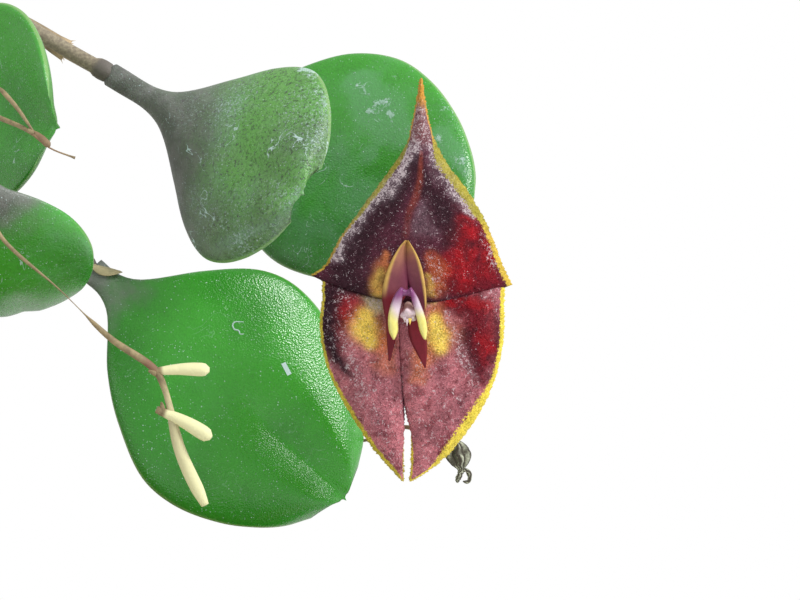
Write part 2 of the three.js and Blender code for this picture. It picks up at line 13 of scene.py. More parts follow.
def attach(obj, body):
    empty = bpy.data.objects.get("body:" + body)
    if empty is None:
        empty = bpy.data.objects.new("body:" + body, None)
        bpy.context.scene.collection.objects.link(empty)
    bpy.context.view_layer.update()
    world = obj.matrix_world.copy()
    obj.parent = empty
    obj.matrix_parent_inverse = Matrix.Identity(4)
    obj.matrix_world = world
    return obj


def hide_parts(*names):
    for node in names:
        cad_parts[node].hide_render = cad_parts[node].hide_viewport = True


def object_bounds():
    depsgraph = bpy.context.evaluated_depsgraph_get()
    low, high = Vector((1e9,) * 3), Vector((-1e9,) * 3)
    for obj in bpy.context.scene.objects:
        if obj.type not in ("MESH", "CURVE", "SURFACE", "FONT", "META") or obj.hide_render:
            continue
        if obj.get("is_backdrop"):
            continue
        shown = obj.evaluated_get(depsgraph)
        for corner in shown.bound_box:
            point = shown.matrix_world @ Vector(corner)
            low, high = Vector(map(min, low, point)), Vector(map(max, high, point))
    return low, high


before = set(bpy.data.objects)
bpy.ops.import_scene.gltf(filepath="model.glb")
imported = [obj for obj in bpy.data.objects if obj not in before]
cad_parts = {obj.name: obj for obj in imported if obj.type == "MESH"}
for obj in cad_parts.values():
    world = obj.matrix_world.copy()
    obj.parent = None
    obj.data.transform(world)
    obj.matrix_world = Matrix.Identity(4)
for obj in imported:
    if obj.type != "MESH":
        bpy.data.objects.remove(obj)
SOLIDS_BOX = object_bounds()

bl_info = {
    "name": "Potted miniature orchid",
    "version": (1, 0, 0),
    "blender": (4, 5, 0),
    "location": "View3D > Sidebar > Orchid",
    "description": "A miniature orchid with thick round leaves and a flat maroon flower, in a terracotta pot",
    "category": "Add Mesh",
}

MM = 0.001
UP = np.array([0.0, 0.0, 1.0])
BODY = "root"

# Pot and what fills it
POT_HEIGHT = 52
POT_BASE_RADIUS = 19
POT_FLARE = 0.183
POT_WALL = 3.2
POT_FLOOR = 4.5
BAND_HEIGHT = 11
BAND_RADIUS = 29
POT_EDGE = 0.8
DRAIN_RADIUS = 2.4
DRAIN_CIRCLE = 9.5
DRAIN_COUNT = 3
CLEARANCE = 0.3
MOSS_EDGE_HEIGHT = 48.6
MOSS_CROWN_HEIGHT = 53.2

# Rhizome, stems, leaves and stalks
RHIZOME_RADIUS = 1.1
RHIZOME_ROUTE = (
    (-15.5, -4, 50.5), (-9, 1.5, 50.4), (-2, 1, 50.3), (5, -1.5, 50.4), (11, 2, 50.3), (16, 5.5, 50.2),
)
ROOT_RADIUS = 0.5
ROOT_PLACES = (0.1, 0.3, 0.5, 0.7, 0.9)
ROOT_LENGTH = 13
STEM_RADIUS = 0.42
SHEATH_RADIUS = 0.62
SHEATHS = 5
SHEATHED_SHARE = 15 / 18
LEAF_HALF_THICKNESS = 0.5
PETIOLE_HALF_THICKNESS = 0.4
APEX_NOTCH = 0.22
STALK_RADIUS = 0.24
STALK_SIDES = 12

# Flower, in its own frame: x to the right, y up, z towards the viewer
FLOWER_CENTRE = (32.6, -7, 76.82)
SEPAL_THICKNESS = 0.7
PETAL_THICKNESS = 0.6


class Shoot(NamedTuple):
    """A stem from its foot on the rhizome to its leaf, whose upper side looks along face."""

    foot_share: float
    route: tuple
    base: tuple
    apex: tuple
    face: tuple
    breadth: float
    cup: float
    crease: float
    arch: float
    taper: float
    finish: str


SHOOTS = tuple(Shoot(*row) for row in (
    (0.67, ((4.4, 0.2, 64), (5, 1.6, 74), (7.2, 2.6, 79.4), (10.4, 2.6, 80.5), (13.2, 2, 78.9)),
     (14.77, 1.5, 77.68), (29.05, -0.5, 65.05), (0, -0.95, 0.3), 1.03, 1.41, 0.91, 0.4, 1, "fresh"),
    (0.6, ((2.2, 1.2, 68), (2.6, 2.6, 84), (4.2, 3.6, 91), (7, 4.1, 93), (9.6, 4, 92.2), (12.86, 3.5, 90.3)),
     (15.81, 2.5, 88.63), (26.65, -8.18, 81.79), (-0.57, -0.77, 0.29), 1.01, 1.28, 0.3, -0.94, 1.53, "aged"),
    (0.53, ((1.2, 3.6, 70), (2.6, 5.6, 86), (5.2, 6.7, 92.6), (9.3, 7, 92.4), (12.66, 7, 90.4),
            (15.48, 7.4, 88.82), (17.44, 8.2, 87.65), (19.98, 9, 87.3)),
     (22.17, 9.5, 87.62), (35.49, -0.47, 79.9), (-0.43, -0.84, 0.34), 1.04, 0.4, 0.3, -0.12, 0.84, "smeared"),
    (0.46, ((-2.6, 2.4, 64), (-4.6, 4, 78), (-3.8, 3.6, 87.4), (-1.8, 1.8, 89.6)),
     (0.45, 0, 89.19), (13.45, -10.43, 85.27), (-0.63, -0.78, -0.03), 0.91, -0.16, 0.3, -2.3, 1.3, "smeared"),
    (0.74, ((7.5, -5, 60), (8.2, -10.5, 70), (8.9, -13.6, 77), (9.4, -14.1, 80)),
     (9.91, -13.5, 82.4), (11.26, -2.19, 75.33), (0.16, -0.54, -0.83),
     0.99, 0.13, 0.3, 1.97, 0.71, "smeared"),
    (0.32, ((-6.4, -1.5, 64), (-6.2, -3.6, 78), (-5.6, -4, 87)),
     (-5, -4, 92), (-10, -8, 107.5), (-0.1, -0.95, -0.28), 1, 0.8, 0.4, 0.4, 1, "fresh"),
    (0.11, ((-13.6, -4, 62), (-14.6, -6.4, 73)),
     (-14, -8, 80), (-27.5, -17.6, 76.1), (-0.2, -0.1, 0.97), 1, 0.8, 0.4, 0.8, 1, "smeared"),
    (0.18, ((-12, 2.5, 62), (-15, 6, 74)),
     (-16, 8, 84), (-30.3, 14.7, 92.6), (0.1, -0.75, 0.65), 1.03, 0.8, 0.4, 0.5, 1, "fresh"),
    (0.39, ((-4.5, 5, 62), (-3.5, 9.5, 74)),
     (-2, 14, 84), (-4, 28, 93), (0, -0.54, 0.84), 0.97, 0.8, 0.4, 0.4, 1, "smeared"),
    (0.25, ((-8.6, -4, 60), (-7.6, -9.5, 70)),
     (-6, -14, 76), (-7.7, -26.4, 66.1), (0, -0.62, 0.78), 1, 0.8, 0.4, 0.9, 1, "fresh"),
    (0.04, ((-16, -3.4, 60), (-17.6, -2.8, 67)),
     (-18, -2, 72), (-33, -0.3, 64), (-0.45, -0.15, 0.88), 1, 0.8, 0.4, 0.8, 1, "aged"),
    (0.83, ((10.8, -2, 54.8), (12.6, -5, 56)),
     (15, -8, 55.5), (27.6, -15.9, 54.6), (0.1, -0.1, 1), 1, 0.3, 0.3, 0.4, 1, "fresh"),
    (0.9, ((12.4, 5.5, 54.6), (12, 9, 56.4)),
     (11.5, 12, 56.6), (17.8, 22.8, 56.4), (0, 0, 1), 1, 0.3, 0.3, 0.3, 1, "smeared"),
    (0.97, ((17, 5, 54.4),),
     (19.5, 3.6, 55.6), (31, 1, 55.4), (0, -0.05, 1), 1, 0.3, 0.3, 0.3, 1, "fresh"),
    (0.215, ((-9.2, 5, 60), (-9, 10, 65.5)),
     (-9.6, 12.4, 68), (-17.5, 24, 70.5), (0.1, -0.15, 1), 1.02, 0.8, 0.4, 0.7, 1, "fresh"),
    (0.43, ((-1.5, 5, 60), (-0.6, 9.5, 66.5)),
     (-0.2, 12, 70), (1, 25.5, 72.5), (0, -0.2, 1), 0.96, 0.7, 0.4, 0.7, 1, "smeared"),
))


def length_property(label, description, millimetres):
    return bpy.props.FloatProperty(
        name=label, description=description, default=millimetres * MM, min=0,
        unit="LENGTH", subtype="DISTANCE")


def colour_property(label, description, colour):
    return bpy.props.FloatVectorProperty(
        name=label, description=description, default=colour, subtype="COLOR", size=3, min=0, max=1)


class OrchidSizes(bpy.types.PropertyGroup):
    """Fine sizes that the solids don't hold"""

    throwing_ring: length_property("Throwing ring", "Depth of the rings left on the pot by the wheel", 0.07)
    tuft_length: length_property("Tuft length", "Length of a moss head's leaves", 1.9)
    sheath_cilium: length_property("Sheath hair", "Length of the hairs round a sheath's mouth", 0.26)
    rim_bead: length_property("Leaf rim", "How far a leaf's rim stands up", 0.035)
    papilla: length_property("Papilla", "Height of the tiny cones on the sepals", 0.08)
    fringe: length_property("Fringe", "Length of the cones along the sepals' margins", 0.1)


class OrchidColours(bpy.types.PropertyGroup):
    """Colours of the plant and its pot"""

    terracotta: colour_property("Terracotta", "Fired clay", (0.5, 0.185, 0.085))
    bloom: colour_property("Mineral bloom", "Pale salts on the clay", (0.66, 0.5, 0.38))
    moss_green: colour_property("Moss", "Living moss", (0.16, 0.22, 0.045))
    straw: colour_property("Straw moss", "Dried moss", (0.5, 0.38, 0.18))
    bark: colour_property("Rhizome", "Rootstock and old sheaths", (0.2, 0.13, 0.065))
    sheath: colour_property("Sheath", "Papery sheaths on the stems", (0.36, 0.27, 0.16))
    leaf_green: colour_property("Leaf green", "Middle of a fresh leaf", (0.036, 0.295, 0.017))
    # Leaf shade is also laid as a painted shade on the half of each leaf that leans away from the light.
    leaf_deep: colour_property("Leaf shade", "Darker parts of a leaf", (0.025, 0.22, 0.013))
    leaf_grey: colour_property(
        "Aged leaf", "Grey-brown of an old leaf and of the petioles", (0.17, 0.155, 0.165))
    leaf_rim: colour_property("Leaf rim", "Thin pale margin", (0.22, 0.4, 0.13))
    # Lime is also the colour of the painted glints that speckle the leaves.
    lime: colour_property("Lime", "White mineral scale on the leaves", (0.52, 0.68, 0.67))
    stalk: colour_property("Stalk", "Dry flower stalks", (0.3, 0.23, 0.12))
    cream: colour_property("Pedicel", "Fat pale pedicels", (0.68, 0.66, 0.38))
    rust: colour_property("Rust", "Nodes of the stalks", (0.2, 0.11, 0.065))
    paper: colour_property("Dried flower", "Shrivelled petals", (0.36, 0.38, 0.28))
    # Dusk also lays the painted shade down the slit between the lateral sepals.
    dusk: colour_property("Dusk", "Ground colour of the sepals", (0.07, 0.014, 0.028))
    # Black plum also lays the painted shade in the folds between the sepals and at the dorsal sepal's foot.
    black_plum: colour_property("Black plum", "Dark shoulders of the sepals", (0.026, 0.006, 0.012))
    crimson: colour_property("Crimson", "Brightest red of the sepals", (0.27, 0.003, 0.007))
    deep_red: colour_property("Deep red", "Red patches", (0.12, 0.0025, 0.009))
    sienna: colour_property("Sienna", "Midrib of the dorsal sepal", (0.2, 0.035, 0.02))
    gold: colour_property("Gold", "Yellow spots beside the lip", (0.86, 0.64, 0.12))
    orange: colour_property("Orange", "Warm borders of the yellow spots", (0.6, 0.19, 0.06))
    mauve: colour_property("Mauve", "Lower lobes of the lateral sepals", (0.46, 0.16, 0.185))
    lilac: colour_property("Grey lilac", "Speckled bands of the sepals", (0.36, 0.28, 0.33))
    # Glint is partly the papillae's own pale tips and partly painted highlight.
    glint: colour_property("Glint", "Pale tips of the papillae", (0.56, 0.48, 0.5))
    margin: colour_property("Margin", "Yellow margin of the sepals", (0.66, 0.53, 0.06))
    olive: colour_property("Olive", "Upper margins of the dorsal sepal", (0.27, 0.235, 0.03))
    amber: colour_property("Amber", "Tail of the dorsal sepal", (0.5, 0.24, 0.035))
    hood: colour_property("Hood", "Inside of the petals", (0.37, 0.165, 0.095))
    # Hood purple also lays the painted shade along the hood's midline.
    hood_purple: colour_property("Hood purple", "Lower inside of the petals", (0.14, 0.025, 0.055))
    hood_gold: colour_property("Petal rim", "Outer rim of the petals", (0.5, 0.31, 0.085))
    lobe: colour_property("Petal lobe", "Lower lobes of the petals", (0.13, 0.008, 0.016))
    lip_purple: colour_property("Lip purple", "Upper part of the lip", (0.2, 0.05, 0.16))
    lip_pale: colour_property("Lip white", "Middle of the lip's blades", (0.62, 0.52, 0.58))
    lip_tip: colour_property("Lip tips", "Yellow-green tips of the lip", (0.66, 0.6, 0.17))
    column: colour_property("Column", "Pale pink column", (0.66, 0.42, 0.36))


def through(*pairs):
    """A smooth curve of one variable through (station, value) pairs."""
    stations, values = (np.array(column, float) for column in zip(*pairs))
    last = len(stations) - 1
    before = np.maximum(np.arange(last + 1) - 1, 0)
    after = np.minimum(np.arange(last + 1) + 1, last)
    slopes = (values[after] - values[before]) / (stations[after] - stations[before])

    def value(station):
        station = np.asarray(station, float)
        i = np.clip(np.searchsorted(stations, station) - 1, 0, last - 1)
        span = stations[i + 1] - stations[i]
        s = np.clip((station - stations[i]) / span, 0, 1)
        rest = 1 - s
        ends = values[i] * (1 + 2 * s) * rest ** 2 + values[i + 1] * (3 - 2 * s) * s ** 2
        return ends + span * s * rest * (slopes[i] * rest - slopes[i + 1] * s)

    return value


def smooth(value, low, high):
    """0 below low, 1 above high, with a smooth step between."""
    share = np.clip((np.asarray(value, float) - low) / (high - low), 0, 1)
    return share * share * (3 - 2 * share)


def unit(vector):
    vector = np.asarray(vector, float)
    return vector / np.linalg.norm(vector, axis=-1, keepdims=True)


def between(start, end, leave, arrive, share):
    """The smooth line from start to end that leaves and arrives at the given rates, at each share of it."""
    turn = 3 * (end - start) - 2 * leave - arrive
    bend = 2 * (start - end) + leave + arrive
    return start + share * leave + share ** 2 * turn + share ** 3 * bend


def around(u, columns):
    """The angle of each column of a skin, the same for the first and the last, where it closes."""
    return 2 * math.pi * (np.rint(u * columns) % columns) / columns


def ragged(count, seed):
    """A smooth random curve over 0 to 1 with count bends, between -1 and 1."""
    knots = np.random.default_rng(seed).uniform(-1, 1, count + 1)
    return lambda share: np.interp(np.asarray(share) * count, np.arange(count + 1), knots)


class Route:
    """A smooth line through points, measured by its length, with a frame that turns as little as it can."""

    STEPS = 24

    def __init__(self, points):
        knots = np.array(points, float)
        knots = np.vstack([2 * knots[0] - knots[1], knots, 2 * knots[-1] - knots[-2]])
        gaps = np.sqrt(np.linalg.norm(np.diff(knots, axis=0), axis=1))
        share = np.linspace(0, 1, self.STEPS, endpoint=False)[:, None]
        stretches = []
        for i in range(1, len(knots) - 2):
            a, b, c, d = knots[i - 1:i + 3]
            before, here, after = gaps[i - 1:i + 2]
            leave = here * ((b - a) / before - (c - a) / (before + here) + (c - b) / here)
            arrive = here * ((c - b) / here - (d - b) / (here + after) + (d - c) / after)
            stretches.append(between(b, c, leave, arrive, share))
        self.places = np.vstack([*stretches, knots[-2:-1]])
        steps = np.linalg.norm(np.diff(self.places, axis=0), axis=1)
        self.stations = np.concatenate([[0], np.cumsum(steps)]) / steps.sum()
        self.length = steps.sum()
        self.tangents = unit(np.gradient(self.places, axis=0))
        side = np.cross(self.tangents[0], UP if abs(self.tangents[0][2]) < 0.9 else [1, 0, 0])
        sides = []
        for tangent in self.tangents:
            side = unit(side - tangent * side.dot(tangent))
            sides.append(side)
        self.sides = np.array(sides)

    def _read(self, values, share):
        return np.stack([np.interp(share, self.stations, values[:, axis]) for axis in range(3)], axis=-1)

    def point(self, share):
        """The one place at that share of the length."""
        return self._read(self.places, np.array([share]))[0]

    def at(self, share):
        """Place, direction and the two directions across, at that share of the length."""
        tangent = unit(self._read(self.tangents, share))
        side = unit(self._read(self.sides, share))
        return self._read(self.places, share), tangent, side, np.cross(tangent, side)


def select_only(*pieces):
    bpy.ops.object.select_all(action="DESELECT")
    for piece in pieces:
        piece.select_set(True)
    bpy.context.view_layer.objects.active = pieces[0]


def added(primitive, **settings):
    """A new primitive, with nothing else selected."""
    bpy.ops.object.select_all(action="DESELECT")
    primitive(**settings)
    return bpy.context.active_object


def close_up(piece):
    """Merges what coincides and turns the faces outwards."""
    select_only(piece)
    bpy.ops.object.mode_set(mode="EDIT")
    bpy.ops.mesh.select_all(action="SELECT")
    bpy.ops.mesh.remove_doubles(threshold=2e-6)
    bpy.ops.mesh.dissolve_degenerate(threshold=1e-7)
    bpy.ops.mesh.normals_make_consistent(inside=False)
    bpy.ops.object.mode_set(mode="OBJECT")
    bpy.ops.object.shade_smooth()


def mark(piece, marks):
    """Keeps values at the points of a mesh, for its material."""
    for key, values in marks.items():
        kind, field = ("FLOAT_VECTOR", "vector") if values.ndim == 2 else ("FLOAT", "value")
        layer = piece.data.attributes.new(key, kind, "POINT")
        layer.data.foreach_set(field, values.astype(np.float32).ravel())


def points_of(piece):
    flat = np.empty(len(piece.data.vertices) * 3)
    piece.data.vertices.foreach_get("co", flat)
    return flat.reshape(-1, 3)


def skin(name, columns, rows, place, marks=None):
    """A grid wrapped into a closed skin: place(u, v) gives its points, with u round it and v along it."""
    piece = added(bpy.ops.mesh.primitive_grid_add, x_subdivisions=columns, y_subdivisions=rows, size=1)
    piece.name = name
    flat = points_of(piece)
    u = np.rint((flat[:, 0] + 0.5) * columns) / columns
    v = np.rint((flat[:, 1] + 0.5) * rows) / rows
    piece.data.vertices.foreach_set("co", (MM * place(u, v)).ravel())
    if marks:
        mark(piece, marks(u, v))
    close_up(piece)
    return piece


def rod(name, route, profile, sides, flute=None, marks=None):
    """A closed round rod along a route. profile holds (share of the length, radius) pairs, and
    flute(angle, ring) may widen a ring."""
    stations, radii = (np.array(column, float) for column in zip(*profile))
    last = len(stations) - 1
    rows = last + 2

    def ring(v):
        return np.clip(np.rint(v * rows).astype(int) - 1, 0, last)

    def place(u, v):
        step = np.rint(v * rows)
        open_ring = (step > 0) & (step < rows)
        angle = around(u, sides)
        size = np.where(open_ring, radii[ring(v)], 0)
        if flute:
            size = size * flute(angle, ring(v))
        centre, _, side, across = route.at(stations[ring(v)])
        return centre + side * (size * np.cos(angle))[:, None] + across * (size * np.sin(angle))[:, None]

    wrapped = (lambda u, v: marks(u, stations[ring(v)])) if marks else None
    return skin(name, sides, rows, place, wrapped)


def even(radius, rows):
    """A rod's profile with equal steps; radius(share) gives its radius."""
    return [(i / rows, float(radius(i / rows))) for i in range(rows + 1)]


def joined(name, pieces):
    select_only(*pieces)
    bpy.ops.object.join()
    pieces[0].name = name
    pieces[0].data.name = name
    return pieces[0]


def scattered(name, master, places, marks=None):
    """One mesh that holds a copy of master at each 4x4 place, in millimetres. master goes."""
    points = points_of(master) / MM
    faces = np.array([tuple(face.vertices) for face in master.data.polygons])
    turned = np.einsum("nij,pj->npi", places[:, :3, :3], points) + places[:, None, :3, 3]
    steps = np.arange(len(places))[:, None, None] * len(points)
    mesh = bpy.data.meshes.new(name)
    mesh.from_pydata((MM * turned).reshape(-1, 3), [], (faces + steps).reshape(-1, faces.shape[1]))
    bpy.data.objects.remove(master)
    piece = bpy.data.objects.new(name, mesh)
    bpy.context.scene.collection.objects.link(piece)
    if marks:
        mark(piece, {key: np.repeat(values, len(points), axis=0) for key, values in marks.items()})
    return piece


def spike(sides=3):
    """A small closed cone 1 mm long and 1 mm in radius, standing on the origin."""
    piece = added(
        bpy.ops.mesh.primitive_cone_add, vertices=sides, radius1=MM, depth=MM, location=(0, 0, MM / 2))
    bpy.ops.object.transform_apply(location=True)
    bpy.ops.object.mode_set(mode="EDIT")
    bpy.ops.mesh.select_all(action="SELECT")
    bpy.ops.mesh.quads_convert_to_tris()
    bpy.ops.object.mode_set(mode="OBJECT")
    return piece


def standing(places, directions, widths, lengths):
    """4x4 places that stand a spike at each place along its direction."""
    directions = unit(directions)
    helper = np.where(np.abs(directions[:, 2:]) < 0.9, UP, [1.0, 0.0, 0.0])
    side = unit(np.cross(helper, directions))
    across = np.cross(directions, side)
    result = np.zeros((len(places), 4, 4))
    result[:, :3, 0] = side * widths[:, None]
    result[:, :3, 1] = across * widths[:, None]
    result[:, :3, 2] = directions * lengths[:, None]
    result[:, :3, 3] = places
    result[:, 3, 3] = 1
    return result


class Value:
    """What a socket gives over a surface. Sums on it add Math nodes."""

    def __init__(self, surface, socket):
        self.surface = surface
        self.socket = socket

    def maths(self, operation, *values):
        return self.surface.add("ShaderNodeMath", {"operation": operation}, dict(enumerate(values)))

    def __add__(self, other):
        return self.maths("ADD", self, other)

    __radd__ = __add__

    def __sub__(self, other):
        return self.maths("SUBTRACT", self, other)

    def __rsub__(self, other):
        return self.maths("SUBTRACT", other, self)

    def __mul__(self, other):
        return self.maths("MULTIPLY", self, other)

    __rmul__ = __mul__

    def __truediv__(self, other):
        return self.maths("DIVIDE", self, other)

    def __abs__(self):
        return self.maths("ABSOLUTE", self)

    def or_more(self, other):
        return self.maths("MAXIMUM", self, other)

    def or_less(self, other):
        return self.maths("MINIMUM", self, other)

    def rise(self, low, high):
        """0 below low, 1 above high, with a smooth step between."""
        settings = {"interpolation_type": "SMOOTHSTEP"}
        return self.surface.add("ShaderNodeMapRange", settings, {0: self, 1: low, 2: high})

    def fall(self, low, high):
        return 1 - self.rise(low, high)


class Surface:
    """A material made of nodes."""

    def __init__(self, name):
        self.material = bpy.data.materials.new(name)
        self.material.use_nodes = True
        self.tree = self.material.node_tree
        self.tree.nodes.clear()
        self.here = self.add("ShaderNodeTexCoord", out="Object")

    def add(self, kind, settings=None, sockets=None, out=0):
        """A new node: its settings come first, then the values or links of its sockets."""
        node = self.tree.nodes.new(kind)
        for key, value in (settings or {}).items():
            setattr(node, key, value)
        for key, value in (sockets or {}).items():
            socket = node.inputs[key]
            if isinstance(value, Value):
                self.tree.links.new(value.socket, socket)
            elif socket.type == "RGBA":
                socket.default_value = (*value, 1)
            else:
                socket.default_value = value
        return Value(self, node.outputs[out])

    def noise(self, per_mm, detail=2, rough=0.5, twist=0, at=None):
        sockets = {"Scale": per_mm / MM, "Detail": detail, "Roughness": rough, "Distortion": twist}
        return self.add("ShaderNodeTexNoise", None, {"Vector": at or self.here, **sockets})

    def cells(self, per_mm, out="Distance"):
        return self.add("ShaderNodeTexVoronoi", None, {"Vector": self.here, "Scale": per_mm / MM}, out)

    def chance(self, per_mm):
        """A random number for each cell."""
        return self.add("ShaderNodeSeparateColor", None, {0: self.cells(per_mm, out="Color")})

    def stretched(self, scale):
        return self.add("ShaderNodeMapping", None, {"Vector": self.here, "Scale": scale})

    def read(self, key):
        return self.add("ShaderNodeAttribute", {"attribute_name": key}, out="Fac")

    def tint(self, key="tint"):
        return self.add("ShaderNodeAttribute", {"attribute_name": key}, out="Color")

    def scaled(self, colour, value):
        return self.add("ShaderNodeVectorMath", {"operation": "SCALE"}, {0: colour, "Scale": value})

    def parts(self, key):
        vector = self.add("ShaderNodeAttribute", {"attribute_name": key}, out="Vector")
        return [self.add("ShaderNodeSeparateXYZ", None, {0: vector}, out=axis) for axis in range(3)]

    def mix(self, mask, below, above):
        return self.add("ShaderNodeMix", {"data_type": "RGBA"}, {0: mask, 6: below, 7: above}, out=2)

    def bump(self, height, depth_mm, onto=None):
        sockets = {"Height": height, "Distance": depth_mm * MM}
        if onto:
            sockets["Normal"] = onto
        return self.add("ShaderNodeBump", None, sockets)

    def finish(self, colour, roughness, normal, shine=0.4, coat=0):
        shader = self.add("ShaderNodeBsdfPrincipled", None, {
            "Base Color": colour, "Roughness": roughness, "Normal": normal,
            "Specular IOR Level": shine, "Coat Weight": coat})
        output = self.tree.nodes.new("ShaderNodeOutputMaterial")
        self.tree.links.new(shader.socket, output.inputs["Surface"])
        return self.material


def toned(colour, factor):
    """A colour made lighter or darker."""
    return tuple(factor * part for part in colour)


def settle(piece, material, slot, *nodes):
    """Gives a finished piece its material and its body, and hides the solids of the nodes that it stands for.
    Its slot is not used.
    """
    piece.data.materials.clear()
    piece.data.materials.append(material)
    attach(piece, BODY)
    if nodes:
        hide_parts(*nodes)
    return piece


def pot_outer_radius(height):
    return POT_BASE_RADIUS + POT_FLARE * height


def pot_inner_radius(height):
    return pot_outer_radius(height) - POT_WALL


def terracotta(colours):
    clay = Surface("terracotta")
    cloud = clay.noise(0.09, 4, 0.6)
    grain = clay.noise(3.5, 3, 0.6)
    pits = clay.cells(1.3).fall(0.05, 0.22) * clay.chance(1.3).rise(0.72, 0.78)
    height = clay.add("ShaderNodeSeparateXYZ", None, {0: clay.here}, out=2) / MM
    streak = clay.noise(0.35, 3, 0.6, at=clay.stretched((1, 1, 0.2)))
    damp = height.rise(10, 44) * 0.22
    salts = (streak * 0.6 + cloud * 0.5 + damp).rise(0.62, 0.86)
    warm = clay.mix(cloud.rise(0.3, 0.7), toned(colours.terracotta, 0.78), colours.terracotta)
    speckled = clay.mix(grain.rise(0.55, 0.75) * 0.35, warm, toned(colours.terracotta, 1.25))
    dusted = clay.mix(salts * 0.6, speckled, colours.bloom)
    colour = clay.mix(pits * 0.6, dusted, toned(colours.terracotta, 0.4))
    normal = clay.bump(grain + clay.noise(9, 2) * 0.6 - pits * 2, 0.05)
    return clay.finish(colour, 0.82 + 0.12 * salts, normal)


def moss_surface(colours, name, straw):
    moss = Surface(name)
    patch = moss.noise(0.12, 3, 0.6)
    fine = moss.noise(2.2, 3, 0.7)
    dry = (patch + straw).rise(0.42, 0.66)
    fresh = moss.mix(fine.rise(0.3, 0.7), toned(colours.moss_green, 0.55), colours.moss_green)
    pale = moss.mix(fine.rise(0.35, 0.7), toned(colours.straw, 0.6), colours.straw)
    normal = moss.bump(fine, 0.15)
    return moss.finish(moss.mix(dry, fresh, pale), 0.85, normal)


def bark_surface(colours):
    bark = Surface("rhizome_bark")
    fibre = bark.noise(1.6, 4, 0.65, at=bark.stretched((0.3, 1, 1)))
    colour = bark.mix(fibre.rise(0.35, 0.7), toned(colours.bark, 0.5), toned(colours.bark, 1.5))
    return bark.finish(colour, 0.8, bark.bump(fibre, 0.08))


def sheath_surface(colours):
    """Papery sheaths: ribbed along the stem, paler at their mouths, brown and bare below the leaf."""
    sheath = Surface("papery_sheath")
    run, mouth, bare = sheath.parts("stem")
    rib = sheath.noise(1.1, 3, 0.6, twist=0.4)
    fleck = sheath.noise(5, 3, 0.7)
    tan = sheath.mix(rib.rise(0.3, 0.7), toned(colours.sheath, 0.62), colours.sheath)
    pale = sheath.mix(mouth.rise(0.3, 1) * 0.6, tan, toned(colours.sheath, 1.6))
    skinned = sheath.mix(fleck.rise(0.35, 0.7), (0.2, 0.165, 0.12), (0.34, 0.29, 0.2))
    colour = sheath.mix(bare, pale, skinned)
    ring = sheath.mix(run.rise(0.975, 0.985), colour, (0.13, 0.115, 0.1))
    return sheath.finish(ring, 0.68, sheath.bump(rib + 0.5 * fleck, 0.05))


